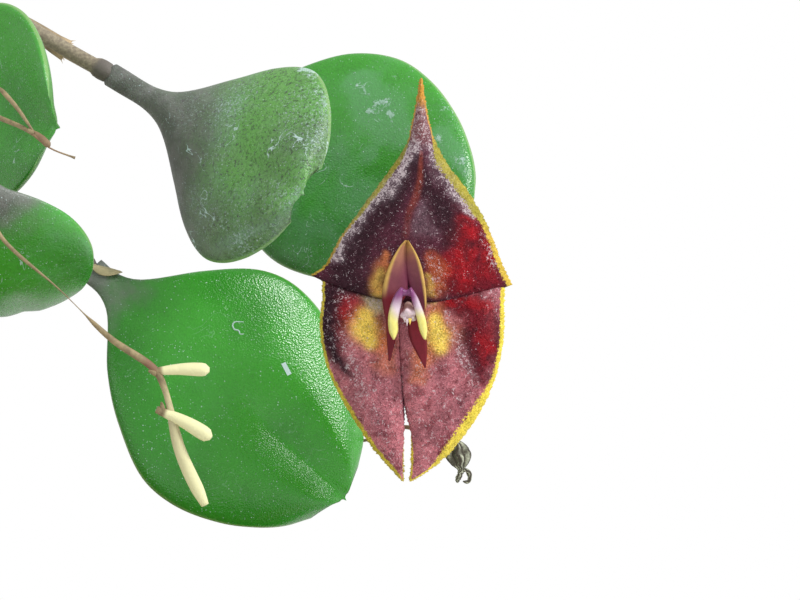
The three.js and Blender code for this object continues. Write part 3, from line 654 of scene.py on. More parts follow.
def leaf_surface(colours, name, age, lime):
    """A thick leaf: age spreads the grey-brown of the petiole over it, and lime the white scale."""
    def aged(young, old):
        return tuple(a + (b - a) * age for a, b in zip(young, old))

    leaf = Surface(name)
    across, along, side = leaf.parts("blade")
    edge = abs(across)
    cloud = leaf.noise(0.2, 3, 0.55)
    blotch = leaf.noise(0.9, 4, 0.6)
    crumb = leaf.noise(3, 5, 0.8)
    deep = aged(colours.leaf_deep, (0.085, 0.19, 0.06))
    fresh = aged(colours.leaf_green, (0.105, 0.32, 0.055))
    light = aged((0.1, 0.4, 0.06), (0.27, 0.4, 0.22))
    # The green turns deeper towards the side where across is positive: a painted shade on the half that leans
    # away from the light.
    green = leaf.mix((cloud - 0.25 * across.rise(0.2, 0.9)).rise(0.25, 0.6), deep, fresh)
    mottled = leaf.mix(crumb.rise(0.5, 0.8) * (0.15 + 0.5 * age), green, light)
    pocks = leaf.noise(6, 5, 0.85).fall(0.42, 0.48)
    pits = crumb.fall(0.34, 0.46) * (0.12 + 0.4 * age) + 0.75 * age * pocks
    pitted = leaf.mix(pits, mottled, (0.035, 0.055, 0.03))
    # This mark thickens the pale haze and the crust: white scale, and on the third leaf's middle a painted
    # light.
    veil = leaf.read("veil")
    haze = (leaf.noise(0.26, 5, 0.65, twist=0.6) + 0.5 * veil).rise(0.45, 0.85) * (0.02 + 0.32 * lime)
    hazed = leaf.mix(haze, pitted, (0.28, 0.47, 0.38))
    fade = along + 0.2 * (cloud - 0.5) + 0.1 * (blotch - 0.5) - 0.16 * age * across
    grey = fade.fall(0.05 + 0.25 * age, 0.19 + 0.55 * age)
    tint = leaf.mix(blotch.rise(0.4, 0.6), colours.leaf_grey, toned(colours.leaf_grey, 0.7))
    skinned = leaf.mix(grey * 0.88, hazed, tint)
    rim = edge.rise(0.98, 0.995) * along.rise(0.2, 0.4)
    rimmed = leaf.mix(rim * 0.7, skinned, colours.leaf_rim)
    under = leaf.mix(side.fall(-0.6, -0.2) * 0.5, rimmed, (0.1, 0.23, 0.06))
    smear = leaf.noise(0.42, 5, 0.68, twist=0.6)
    right_border = across.fall(-0.97, -0.74) * along.rise(0.25, 0.5)
    border = right_border + 0.6 * across.rise(0.8, 0.97) * along.rise(0.6, 0.8)
    crusted = smear + 0.15 * lime * border + 0.25 * veil + 0.6 * (crumb - 0.5)
    crust = crusted.rise(0.83 - 0.1 * lime, 0.91 - 0.1 * lime)
    line = abs(leaf.noise(0.55, 2, 0.5, twist=1.2) - 0.5).fall(0.004, 0.012)
    squiggle = line * leaf.noise(0.5, 1).rise(0.6, 0.66) * crumb.rise(0.42, 0.5)
    crowd = leaf.noise(0.3, 2)
    # Scattered pale dots in the lime colour: painted glints of light on the leaf's fine granules.
    glint_specks = leaf.cells(4).fall(0.07, 0.18) * (leaf.chance(4) + 0.5 * (crowd - 0.5)).rise(0.66, 0.74)
    dust = leaf.cells(8).fall(0.12, 0.3) * (leaf.chance(8) + (0.8 + age) * (crowd - 0.5)).rise(0.72, 0.86)
    sand = leaf.noise(7, 5, 0.85)
    grit = (sand + 0.25 * (crowd - 0.5)).rise(0.56, 0.62) * along.rise(0.2, 0.6)
    chip = leaf.read("chip")
    # The white scale sums crust, squiggles, dust, grit and the chip with the painted glints, all in the lime
    # colour.
    scale = (crust * (0.3 + 0.4 * lime) + squiggle * lime + glint_specks * 0.7 + dust * 0.4
             + 0.6 * age * grit + chip).or_less(0.92)
    white = scale * side.rise(-0.6, 0.2)
    colour = leaf.mix(white, under, colours.lime)
    granules = leaf.cells(9)
    normal = leaf.bump(granules + white + (0.4 + 2 * age) * crumb, 0.018)
    rough = 0.22 + 0.1 * blotch + 0.25 * white + 0.2 * grey
    return leaf.finish(colour, rough, normal, shine=0.5)


def stalk_surface(colours):
    """Dry stalks: mark "hue" is 0 on tan thread, 1 on a cream pedicel and -1 on a rusty node."""
    stalk = Surface("dry_stalk")
    hue = stalk.read("hue")
    fibre = stalk.noise(2.4, 3, 0.6)
    tan = stalk.mix(fibre.rise(0.3, 0.7), toned(colours.stalk, 0.6), colours.stalk)
    cream = stalk.mix(hue.rise(0.2, 0.8), tan, colours.cream)
    colour = stalk.mix(hue.fall(-0.8, -0.2), cream, colours.rust)
    return stalk.finish(colour, 0.66, stalk.bump(fibre, 0.05))


def paper_surface(colours):
    paper = Surface("dried_petal")
    vein = paper.noise(1.3, 4, 0.65, twist=0.8)
    blot = paper.noise(0.9, 2)
    pale = paper.mix(vein.rise(0.35, 0.65), toned(colours.paper, 0.45), toned(colours.paper, 1.35))
    # Dark along the crests, where the dried petal is dark, and in the grooves, where it is a painted shade,
    # with dark blots.
    dark = (paper.read("fold") * (0.6 + vein)).or_more(blot.rise(0.56, 0.66) * 0.8)
    colour = paper.mix(dark.or_less(0.95), pale, (0.035, 0.026, 0.016))
    return paper.finish(colour, 0.75, paper.bump(vein, 0.1))


def sepal_surface(colours):
    """Fleshy sepals: marks "tint" and "rim" hold their painted colours, and grains break the borders."""
    sepal = Surface("papillose_sepal")
    grain = sepal.cells(11)
    luck = sepal.chance(11)
    soft = sepal.noise(1.6, 3, 0.6)
    worms = sepal.noise(6, 4, 0.75, twist=1.2)
    margin = (1.4 * sepal.read("margin") - 0.25 + 0.8 * (luck - 0.5)).rise(0.2, 0.8)
    tint = sepal.mix(margin, sepal.tint(), sepal.tint("rim"))
    # Each cell is lighter in its middle and darker at its border, a painted light and shade on every papilla;
    # the noises vary the tone at random.
    shaded = sepal.scaled(tint, (1.35 - 0.62 * grain) * (0.5 + soft) * (0.25 + 1.5 * worms))
    # Pale dots scattered where the speckle mark is high, away from the margin: the papillae's pale tips,
    # partly painted glints of light.
    sparse = (0.19 * sepal.read("speckle") + worms).rise(0.62, 0.72) * (1 - 0.85 * margin)
    speckled = sepal.mix(sparse * 0.8, shaded, colours.glint)
    normal = sepal.bump(worms + 0.4 * grain.fall(0, 0.7), 0.04, onto=sepal.bump(soft, 0.1))
    return sepal.finish(speckled, 0.5 + 0.15 * grain, normal, shine=0.15)


def waxy_surface(name, roughness, coat):
    """Smooth flesh in the colours that its piece is painted with."""
    flesh = Surface(name)
    soft = flesh.noise(2.4, 3, 0.6)
    colour = flesh.scaled(flesh.tint(), 0.75 + 0.5 * soft)
    return flesh.finish(colour, roughness + 0.1 * soft, flesh.bump(soft, 0.04), shine=0.2, coat=coat)


class PotOperator(bpy.types.Operator):
    """Throws the terracotta pot and drills its drainage holes"""

    bl_idname = "orchid.pot"
    bl_label = "Pot"
    SEGMENTS = 112
    WALL_STEPS = 34
    BAND_STEPS = 9
    EDGE_STEPS = 5
    INNER_STEPS = 14
    THROWING_RINGS = 40
    RING_SEED = 5
    DRAIN_SEGMENTS = 40
    CREASE_ANGLE = 38

    def profile(self, ring_depth):
        """(radius, height) from the middle of the underside, up the outside, over the rim and down inside."""
        band_foot = POT_HEIGHT - BAND_HEIGHT
        walls = [(POT_BASE_RADIUS - POT_EDGE, 0), (POT_BASE_RADIUS - 0.25 * POT_EDGE, 0.22 * POT_EDGE)]
        rings = ragged(self.THROWING_RINGS, self.RING_SEED)
        for height in np.linspace(POT_EDGE, band_foot - 0.3, self.WALL_STEPS):
            walls.append((pot_outer_radius(height) + ring_depth * rings(height / POT_HEIGHT), height))
        walls.append((pot_outer_radius(band_foot), band_foot))
        walls.append((BAND_RADIUS - POT_EDGE, band_foot + 0.1 * POT_EDGE))
        walls.append((BAND_RADIUS - 0.35 * POT_EDGE, band_foot + 0.9 * POT_EDGE))
        for height in np.linspace(band_foot + 2 * POT_EDGE, POT_HEIGHT - 1.4 * POT_EDGE, self.BAND_STEPS):
            walls.append((BAND_RADIUS + ring_depth * rings(height / POT_HEIGHT), height))
        for turn in np.linspace(0.2, 1.0, self.EDGE_STEPS) * math.pi / 2:
            radius = BAND_RADIUS - POT_EDGE * (1 - math.cos(turn))
            walls.append((radius, POT_HEIGHT - POT_EDGE * (1 - math.sin(turn))))
        lip = pot_inner_radius(POT_HEIGHT)
        for turn in np.linspace(0, 1.0, self.EDGE_STEPS) * math.pi / 2:
            radius = lip + POT_EDGE * (1 - math.sin(turn))
            walls.append((radius, POT_HEIGHT - POT_EDGE * (1 - math.cos(turn))))
        for height in np.linspace(POT_HEIGHT - 2, POT_FLOOR + 2, self.INNER_STEPS):
            walls.append((pot_inner_radius(height) + ring_depth * rings(1 - height / POT_HEIGHT), height))
        walls.append((pot_inner_radius(POT_FLOOR) - 0.3 * POT_EDGE, POT_FLOOR + 0.3 * POT_EDGE))
        walls.append((pot_inner_radius(POT_FLOOR) - POT_EDGE, POT_FLOOR))
        return walls

    def throw(self, walls):
        """A filled circle drawn up ring by ring."""
        radius, height = walls[0]
        pot = added(
            bpy.ops.mesh.primitive_circle_add, vertices=self.SEGMENTS, radius=radius * MM,
            fill_type="NGON", location=(0, 0, height * MM))
        bpy.ops.object.transform_apply(location=True)
        bpy.ops.object.mode_set(mode="EDIT")
        for next_radius, next_height in walls[1:]:
            rise = {"value": (0, 0, (next_height - height) * MM)}
            bpy.ops.mesh.extrude_region_move(TRANSFORM_OT_translate=rise)
            widen = next_radius / radius
            bpy.ops.transform.resize(value=(widen, widen, 1))
            radius, height = next_radius, next_height
        bpy.ops.object.mode_set(mode="OBJECT")
        return pot

    def drill(self, pot):
        for i in range(DRAIN_COUNT):
            angle = 2 * math.pi * (i + 0.25) / DRAIN_COUNT
            place = (DRAIN_CIRCLE * math.cos(angle) * MM, DRAIN_CIRCLE * math.sin(angle) * MM, 0)
            bit = added(
                bpy.ops.mesh.primitive_cylinder_add, vertices=self.DRAIN_SEGMENTS, radius=DRAIN_RADIUS * MM,
                depth=4 * POT_FLOOR * MM, location=place)
            select_only(pot)
            cut = pot.modifiers.new("drain", "BOOLEAN")
            cut.operation = "DIFFERENCE"
            cut.solver = "EXACT"
            cut.object = bit
            bpy.ops.object.modifier_apply(modifier=cut.name)
            bpy.data.objects.remove(bit)

    def execute(self, context):
        pot = self.throw(self.profile(context.scene.orchid_sizes.throwing_ring / MM))
        pot.name = "pot_terracotta"
        close_up(pot)
        self.drill(pot)
        select_only(pot)
        bpy.ops.object.shade_smooth_by_angle(angle=math.radians(self.CREASE_ANGLE))
        settle(pot, terracotta(context.scene.orchid_colours), "terracotta", "pot")
        return {"FINISHED"}


def moss_height(x, y):
    """Height of the moss over a place in the pot."""
    edge = pot_inner_radius(MOSS_EDGE_HEIGHT) - CLEARANCE
    share = np.hypot(x, y) / edge
    rise = (MOSS_CROWN_HEIGHT - MOSS_EDGE_HEIGHT) * (1 - share ** 3)
    wide = np.sin(0.62 * x + 0.5) * np.cos(0.55 * y - 0.3)
    fine = np.sin(1.35 * x - 0.8 * y) * np.cos(1.1 * y + 0.4 * x)
    close = np.sin(3.1 * x + 1.7 * y) * np.sin(2.6 * y - 1.9 * x) + np.sin(5.3 * x) * np.sin(4.9 * y)
    return MOSS_EDGE_HEIGHT + rise + (1 - share ** 6) * (0.55 * wide + 0.38 * fine + 0.16 * close)


class MossOperator(bpy.types.Operator):
    """Fills the pot with moss and covers it with small leafy heads and dry strands"""

    bl_idname = "orchid.moss"
    bl_label = "Moss"
    SEED = 11
    FILLING_COLUMNS = 120
    FILLING_ROWS = 60
    SIDE_ROWS = 12
    HEADS = 640
    HEAD_LEAVES = 9
    HEAD_INSET = 1.4
    SUNK = 0.15
    STRANDS = 230
    STRAND_STEPS = 7
    STRAND_STEP = 0.75
    STRAND_LIFT = 0.35
    STRAND_INSET = 3.5
    STRAND_OVERHANG = 1.5
    STRAND_LENGTH = 1.25
    STRAND_WIDTH = 0.12
    LEAFLET_SHARE = 0.6
    LEAFLET_WIDTH = 0.16

    def filling(self):
        foot = POT_FLOOR + CLEARANCE
        edge = pot_inner_radius(MOSS_EDGE_HEIGHT) - CLEARANCE
        foot_radius = pot_inner_radius(foot) - CLEARANCE - POT_EDGE
        rows = self.FILLING_ROWS

        def place(u, v):
            step = np.rint(v * rows)
            angle = 2 * math.pi * u
            up = np.clip((step - 1) / self.SIDE_ROWS, 0, 1)
            inward = np.clip((step - 1 - self.SIDE_ROWS) / (rows - 1 - self.SIDE_ROWS), 0, 1)
            radius = np.where(step == 0, 0, (foot_radius + (edge - foot_radius) * up) * (1 - inward))
            x, y = radius * np.cos(angle), radius * np.sin(angle)
            side_height = foot + (MOSS_EDGE_HEIGHT - foot) * up
            z = np.where(inward > 0, moss_height(x, y), side_height)
            return np.stack([x, y, z], axis=1)

        return skin("moss_filling", self.FILLING_COLUMNS, rows, place)

    def heads(self, rng, length):
        """Star-shaped heads of pointed leaves, some lying and some rising."""
        reach = pot_inner_radius(MOSS_EDGE_HEIGHT) - self.HEAD_INSET
        radius = reach * np.sqrt(rng.uniform(0, 1, self.HEADS))
        angle = rng.uniform(0, 2 * math.pi, self.HEADS)
        centres = np.stack([radius * np.cos(angle), radius * np.sin(angle)], axis=1)
        places, directions = [], []
        for x, y in centres:
            foot = (x, y, float(moss_height(x, y)) - self.SUNK)
            spin = rng.uniform(0, 2 * math.pi)
            for k in range(self.HEAD_LEAVES):
                turn = spin + 2 * math.pi * k / self.HEAD_LEAVES + rng.uniform(-0.2, 0.2)
                lift = rng.uniform(0.12, 0.75) if k % 3 else rng.uniform(0.8, 1.3)
                level = math.cos(lift)
                places.append(foot)
                directions.append((math.cos(turn) * level, math.sin(turn) * level, math.sin(lift)))
        count = len(places)
        lengths = length * rng.uniform(0.45, 0.85, count)
        widths = rng.uniform(0.13, 0.24, count)
        where = standing(np.array(places), np.array(directions), widths, lengths)
        return scattered("moss_heads", spike(4), where)

    def strands(self, rng, length):
        """Long dry shoots that lie over the heads."""
        reach = pot_inner_radius(MOSS_EDGE_HEIGHT) - self.STRAND_INSET
        places, directions, lengths, widths = [], [], [], []
        for _ in range(self.STRANDS):
            radius = reach * math.sqrt(rng.uniform())
            angle = rng.uniform(0, 2 * math.pi)
            heading = rng.uniform(0, 2 * math.pi)
            x, y = radius * math.cos(angle), radius * math.sin(angle)
            for _ in range(self.STRAND_STEPS):
                heading += rng.uniform(-0.4, 0.4)
                step = np.array([math.cos(heading), math.sin(heading)]) * self.STRAND_STEP
                here = float(moss_height(x, y)) + self.STRAND_LIFT
                there = float(moss_height(x + step[0], y + step[1])) + self.STRAND_LIFT
                rise = there - here
                leaf_x = step[0] + rng.uniform(-0.5, 0.5)
                leaf_y = step[1] + rng.uniform(-0.5, 0.5)
                places += [(x, y, here), (x, y, here)]
                directions += [(step[0], step[1], rise), (leaf_x, leaf_y, rise + 0.35)]
                lengths += [self.STRAND_LENGTH, length * self.LEAFLET_SHARE]
                widths += [self.STRAND_WIDTH, self.LEAFLET_WIDTH]
                x, y = x + step[0], y + step[1]
                if math.hypot(x, y) > reach + self.STRAND_OVERHANG:
                    break
        where = standing(np.array(places), np.array(directions), np.array(widths), np.array(lengths))
        return scattered("moss_strands", spike(4), where)

    def execute(self, context):
        rng = np.random.default_rng(self.SEED)
        colours = context.scene.orchid_colours
        length = context.scene.orchid_sizes.tuft_length / MM
        settle(self.filling(), moss_surface(colours, "moss_bed", 0.02), "moss", "moss")
        settle(self.heads(rng, length), moss_surface(colours, "moss_head", -0.02), "moss")
        settle(self.strands(rng, length), moss_surface(colours, "moss_straw", 0.3), "moss")
        return {"FINISHED"}


RHIZOME = Route(RHIZOME_ROUTE)


class RhizomeOperator(bpy.types.Operator):
    """Lays the creeping rhizome in its overlapping scales, with its roots"""

    bl_idname = "orchid.rhizome"
    bl_label = "Rhizome"
    SCALES = 22
    SIDES = 18
    ROOT_SIDES = 12
    ROOT_STEPS = 18

    def root_radius(self, share):
        """A root tapers to its tip and is slightly knobbly."""
        return ROOT_RADIUS * (1 - 0.3 * share) * (1 + 0.06 * math.sin(31 * share))

    def execute(self, context):
        profile = [(0, 0.4), (0.004, RHIZOME_RADIUS * 0.8)]
        for i in range(self.SCALES):
            start, end = i / self.SCALES, (i + 1) / self.SCALES
            profile.append((start + 0.1 / self.SCALES, RHIZOME_RADIUS * 0.82))
            profile.append((start + 0.5 / self.SCALES, RHIZOME_RADIUS * 0.9))
            profile.append((end, RHIZOME_RADIUS))
        profile.append((1, 0.5))
        pieces = [rod("rhizome_scales", RHIZOME, profile, self.SIDES)]
        taper = even(self.root_radius, self.ROOT_STEPS)
        for i, share in enumerate(ROOT_PLACES):
            start = RHIZOME.point(share)
            side = 1 if i % 2 == 0 else -1
            middle = start + (1.5 - i * 0.5, side * 3.5, -ROOT_LENGTH * 0.4)
            end = start + (i - 2.5, side * 5, -ROOT_LENGTH)
            pieces.append(rod("root", Route((start, middle, end)), taper, self.ROOT_SIDES))
        bark = bark_surface(context.scene.orchid_colours)
        settle(joined("rhizome_and_roots", pieces), bark, "rhizome", "rhizome")
        return {"FINISHED"}


def stem_route(shoot):
    """From inside the rhizome to just inside the leaf's base."""
    base = np.array(shoot.base, float)
    foot = RHIZOME.point(shoot.foot_share) + UP * (RHIZOME_RADIUS * 0.6)
    approach = unit(base - shoot.route[-1])
    return Route((foot, *shoot.route, base + approach * 0.1))


class StemsOperator(bpy.types.Operator):
    """Grows the slender stems in their trumpet-shaped sheaths, up to the ring below each leaf"""

    bl_idname = "orchid.stems"
    bl_label = "Stems"
    SIDES = 16
    HAIRS = 12
    HAIR_WIDTH = 0.035
    MOUTH_SHARE = 0.012

    def profile(self, length):
        """Rings of one stem: each sheath widens to its mouth, and the ring below the leaf closes it."""
        rings = [(0, STEM_RADIUS)]
        mouths = []
        for i in range(SHEATHS):
            start, end = SHEATHED_SHARE * i / SHEATHS, SHEATHED_SHARE * (i + 1) / SHEATHS
            for s in (0.04, 0.3, 0.6, 0.82, 0.93, 1.0):
                flare = 0.25 * s + 0.9 * s ** 8
                radius = STEM_RADIUS + (SHEATH_RADIUS - STEM_RADIUS) * flare
                rings.append((start + (end - start) * s, radius))
            mouths.append(end)
            rings.append((end, STEM_RADIUS + 0.02))
        for s in (0.3, 0.6):
            rings.append((SHEATHED_SHARE + (1 - SHEATHED_SHARE) * s, STEM_RADIUS))
        collar = min(0.9, 0.2 * (1 - SHEATHED_SHARE) * length) / length
        for back, radius in ((1.5, 0.43), (1.15, 0.57), (0.8, 0.6), (0.45, 0.58), (0.2, 0.48), (0, 0.4)):
            rings.append((1 - back * collar, radius))
        return rings, mouths

    def hairs(self, route, mouths, length):
        places, directions = [], []
        for i, mouth in enumerate(mouths):
            centre, tangent, side, across = (value[0] for value in route.at(np.array([mouth])))
            for k in range(self.HAIRS):
                angle = 2 * math.pi * (k + 0.5 * (i % 2)) / self.HAIRS
                out = side * math.cos(angle) + across * math.sin(angle)
                places.append(centre + out * (SHEATH_RADIUS + 0.01) - tangent * 0.05)
                directions.append(tangent * 0.8 + out * 0.6)
        count = len(places)
        widths, lengths = np.full(count, self.HAIR_WIDTH), np.full(count, length)
        where = standing(np.array(places), np.array(directions), widths, lengths)
        marks = {"stem": np.tile([0.5, 1.0, 0.0], (count, 1))}
        return scattered("sheath_hairs", spike(), where, marks)

    def stem(self, number, shoot, hair):
        route = stem_route(shoot)
        rings, mouths = self.profile(route.length)
        shares = np.array([share for share, _ in rings])
        radii = np.array([radius for _, radius in rings])

        def marks(_, share):
            mouth = np.max([np.exp(-((share - m) / self.MOUTH_SHARE) ** 2) for m in mouths], axis=0)
            bare = smooth(share, SHEATHED_SHARE, SHEATHED_SHARE + 0.01)
            return {"stem": np.stack([share, mouth, bare], axis=1)}

        def flute(angle, ring):
            sheathed = (shares[ring] < SHEATHED_SHARE) & (radii[ring] > STEM_RADIUS + 0.03)
            return 1 + 0.045 * sheathed * np.cos(8 * angle)

        body = rod(f"stem_{number}", route, rings, self.SIDES, flute, marks)
        return joined(f"stem_{number}", [body, self.hairs(route, mouths, hair)])

    def execute(self, context):
        surface = sheath_surface(context.scene.orchid_colours)
        hair = context.scene.orchid_sizes.sheath_cilium / MM
        for i, shoot in enumerate(SHOOTS):
            number = f"{i + 1:02d}"
            settle(self.stem(number, shoot, hair), surface, "ramicaul", f"ramicaul_{number}")
        return {"FINISHED"}


LEAF_HALF_WIDTH = through(
    (0, 0.04), (0.07, 0.042), (0.13, 0.075), (0.24, 0.2), (0.36, 0.3),
    (0.5, 0.352), (0.64, 0.342), (0.8, 0.284), (0.9, 0.222), (0.96, 0.165), (1, 0.1),
)
LEAF_HALF = through(
    (0, PETIOLE_HALF_THICKNESS), (0.13, PETIOLE_HALF_THICKNESS), (0.3, LEAF_HALF_THICKNESS),
    (0.85, LEAF_HALF_THICKNESS), (0.96, 0.36), (1, 0),
)
LEAF_FULLNESS = through((0, 2), (0.13, 2.5), (0.3, 8), (1, 8))


class Leaf:
    """The shape of one leaf: its own frame has the apex along y and the upper face towards z."""

    # The first leaf is a little fuller on one side, and its cup opens further along it than on the others
    FIRST_LEAN = 0.08
    FIRST_CUP_END = 0.8
    CUP_END = 0.45

    # Where white scale lies thick on two of the leaves, and where a painted light lightens the third leaf's
    # middle under the flower's shadow: how thick, then its (across, along, half width) stops in millimetres,
    # on a leaf of this half width and length
    VEIL_HALF_WIDTH = 6
    VEIL_LENGTH = 17
    VEILS = {
        1: ((0.3, (5, 13, 0.5), (4.4, 15.6, 0.5)),),
        2: ((1, (-4, 6.6, 0.7), (-3.2, 8.6, 1.1), (-2.8, 10.6, 0.9)), (1, (-4.3, 13, 0.6), (-4.9, 15.6, 0.7)),
            (1, (-1, 9.8, 0.5)), (0.5, (1, 6, 2.2), (1.3, 10.5, 2.2))),
    }

    def __init__(self, shoot, seed, bead):
        self.shoot = shoot
        self.base = np.array(shoot.base, float)
        run = np.array(shoot.apex, float) - self.base
        self.length = float(np.linalg.norm(run))
        self.along = run / self.length
        self.across = unit(np.cross(self.along, shoot.face))
        self.upper = np.cross(self.across, self.along)
        self.phase = seed * 1.7
        self.lean = self.FIRST_LEAN if seed == 0 else 0
        self.cup_end = self.FIRST_CUP_END if seed == 0 else self.CUP_END
        self.bead = bead
        self.veils = self.VEILS.get(seed, ())

    def veil(self, q, t):
        """How thick the white scale lies at each point, and the painted light on the third leaf's middle."""
        thickness = 0 * t
        for thick, *stops in self.veils:
            cover = stroke(self.VEIL_HALF_WIDTH * q, self.VEIL_LENGTH * t, *stops)
            thickness = np.maximum(thickness, thick * cover)
        return thickness

    def place(self, q, t, side):
        """Points at q from -1 to 1 across and t from 0 to 1 along, on the side that side gives."""
        fuller = 1 - self.lean * q * np.exp(-((t - 0.36) / 0.15) ** 2)
        x = LEAF_HALF_WIDTH(t ** self.shoot.taper) * self.length * self.shoot.breadth * q * fuller
        back = 0.042 * smooth(t, 0.6, 1) * np.sqrt(q * q + 0.002)
        tip = smooth(t, 0.93, 1)
        notch = tip * (APEX_NOTCH * np.exp(-(x / 0.22) ** 2) - 0.3 * np.exp(-(x / 0.08) ** 2))
        spread = smooth(t, 0.1, self.cup_end)
        groove = self.shoot.crease * smooth(t, 0.5, 0.74) * np.maximum(0, 1 - np.abs(q) / 0.43) ** 1.07
        wave = 0.07 * spread * q * q * np.sin(9 * t + 2 * np.sign(q) + self.phase)
        arch = self.shoot.arch * np.sin(math.pi * t)
        middle = arch - self.shoot.cup * spread * q * q - groove + wave
        level = np.sqrt(np.maximum(0, 1 - np.minimum(np.abs(q), 1) ** LEAF_FULLNESS(t)))
        raised = self.bead * spread * np.exp(-((np.abs(q) - 0.95) / 0.035) ** 2) * (side > 0)
        z = middle + side * LEAF_HALF(t) * level + raised
        y = self.length * (t - back) - notch
        return self.base + x[:, None] * self.across + y[:, None] * self.along + z[:, None] * self.upper


class LeavesOperator(bpy.types.Operator):
    """Opens the thick leaves, with their pale rims, creases and white scale"""

    bl_idname = "orchid.leaves"
    bl_label = "Leaves"
    COLUMNS = 72
    ROWS = 64
    CHIP_PLACE = (-0.44, 0.62)
    CHIP_SIZE = (0.26, 0.75, 0.05)
    CHIP_TURN = -0.25
    CURL_PLACE = (-0.45, 0.43)

    def blade(self, name, leaf):
        def section(u, v):
            """Rows lie closer towards the apex, and columns towards the middle and the rims."""
            t = np.clip((np.rint(v * self.ROWS) - 1) / (self.ROWS - 1), 0, 1)
            t = 1 - (1 - t) ** 1.15
            closing = np.rint(v * self.ROWS) == 0
            angle = around(u, self.COLUMNS)
            turned = np.round(np.cos(angle), 9)
            q = np.where(closing, 0, np.sign(turned) * np.abs(turned) ** 1.3)
            side = np.where(closing, 0, np.sign(np.round(np.sin(angle), 6)))
            return q, t, side

        def marks(u, v):
            q, t, _ = section(u, v)
            face = np.clip(3 * np.sin(2 * math.pi * u), -1, 1)
            return {"blade": np.stack([q, t, face], axis=1), "chip": 0 * t, "veil": leaf.veil(q, t)}

        return skin(name, self.COLUMNS, self.ROWS, lambda u, v: leaf.place(*section(u, v)), marks)

    def chip(self, leaf):
        """A pale four-sided flake that lies on the first leaf."""
        q, t = self.CHIP_PLACE
        here, ahead = leaf.place(np.array([q, q]), np.array([t, t + 0.02]), np.ones(2))
        flake = added(bpy.ops.mesh.primitive_cube_add, size=MM)
        along = unit(ahead - here)
        normal = unit(np.cross(leaf.across, along))
        across = np.cross(along, normal)
        width, depth, thick = self.CHIP_SIZE
        turn = Matrix(((*across, 0), (*along, 0), (*normal, 0), (0, 0, 0, 1))).transposed()
        spin = Matrix.Rotation(self.CHIP_TURN, 4, "Z")
        size = Matrix.Diagonal((width, depth, thick, 1))
        flake.data.transform(Matrix.Translation(Vector(here * MM)) @ turn @ spin @ size)
        mark(flake, {"blade": np.tile([0.0, 0.5, 1.0], (8, 1)), "chip": np.ones(8)})
        return flake

    def curl(self, leaf):
        """A pale curled thread that is stuck to the first leaf."""
        q, t = self.CURL_PLACE
        across = np.array([-0.045, 0.0, 0.03, 0.05, 0.04, 0.055, 0.035])
        ahead = np.array([0.004, -0.014, -0.012, 0.0, 0.012, 0.022, 0.03])
        places = leaf.place(q + across, t + ahead, np.ones(7))

        def marks(_, share):
            return {"blade": np.tile([0.0, 0.5, 1.0], (len(share), 1)), "chip": 0.7 + 0 * share}

        thick = even(lambda share: 0.02 + 0.03 * math.sin(3 * share), 40)
        return rod("curl", Route(places), thick, 6, marks=marks)

    def execute(self, context):
        colours = context.scene.orchid_colours
        surfaces = {
            "fresh": leaf_surface(colours, "leaf_fresh", 0.0, 0.1),
            "smeared": leaf_surface(colours, "leaf_smeared", 0.12, 0.55),
            "aged": leaf_surface(colours, "leaf_aged", 1.0, 1.0),
        }
        for i, shoot in enumerate(SHOOTS):
            number = f"{i + 1:02d}"
            leaf = Leaf(shoot, i, context.scene.orchid_sizes.rim_bead / MM)
            piece = self.blade(f"blade_{number}", leaf)
            if i == 0:
                piece = joined("blade_01", [piece, self.chip(leaf), self.curl(leaf)])
            settle(piece, surfaces[shoot.finish], "leaf", f"leaf_{number}")
        return {"FINISHED"}


def beside_leaf(shoot, distance):
    """A point off the base of a leaf, along the direction that its upper side looks."""
    return np.array(shoot.base, float) + unit(shoot.face) * distance


def thread(name, points, radius, rows, hue):
    """A stalk: radius(share) and hue(share) follow its length."""
    def marks(_, share):
        return {"hue": hue(share)}

    return rod(name, Route(points), even(radius, rows), STALK_SIDES, marks=marks)


def pedicel(start, end, thick, hue=1.0):
    """A fat stub that is left where a flower fell."""
    shape = through((0, 0.5), (0.15, 0.62), (0.4, 0.8), (0.75, 1), (0.93, 0.9), (1, 0.35))
    middle = (np.array(start, float) + end) / 2 + (0.05, 0, 0.08)
    hues = through((0, min(hue, 0)), (0.12, 0.2 * hue), (0.25, hue), (1, hue))
    return thread("pedicel", (start, middle, end), lambda s: thick * shape(s), 14, hues)


def bract(place, heading, out, size, flare=0.5, long=1.7, hue=0.25):
    """A papery scale that clasps a node: a cupped blade with a pointed tip."""
    heading, out = unit(heading), unit(out)
    across = np.cross(heading, out)

    def place_at(u, v):
        angle = 2 * math.pi * u
        q, face = np.cos(angle), np.sin(angle)
        width = np.sin(math.pi * np.clip(0.12 + 0.88 * v, 0, 1)) ** 0.8
        spread = q * width * 1.2
        radius = size * (0.45 + flare * v ** 2) + 0.04 * face * np.sqrt(np.maximum(0, 1 - q ** 6)) * width
        x, z = radius * np.sin(spread), radius * np.cos(spread)
        return (np.array(place, float) + x[:, None] * across + z[:, None] * out
                + (long * size * v)[:, None] * heading)

    return skin("bract", 16, 10, place_at, lambda u, v: {"hue": hue + 0 * u})


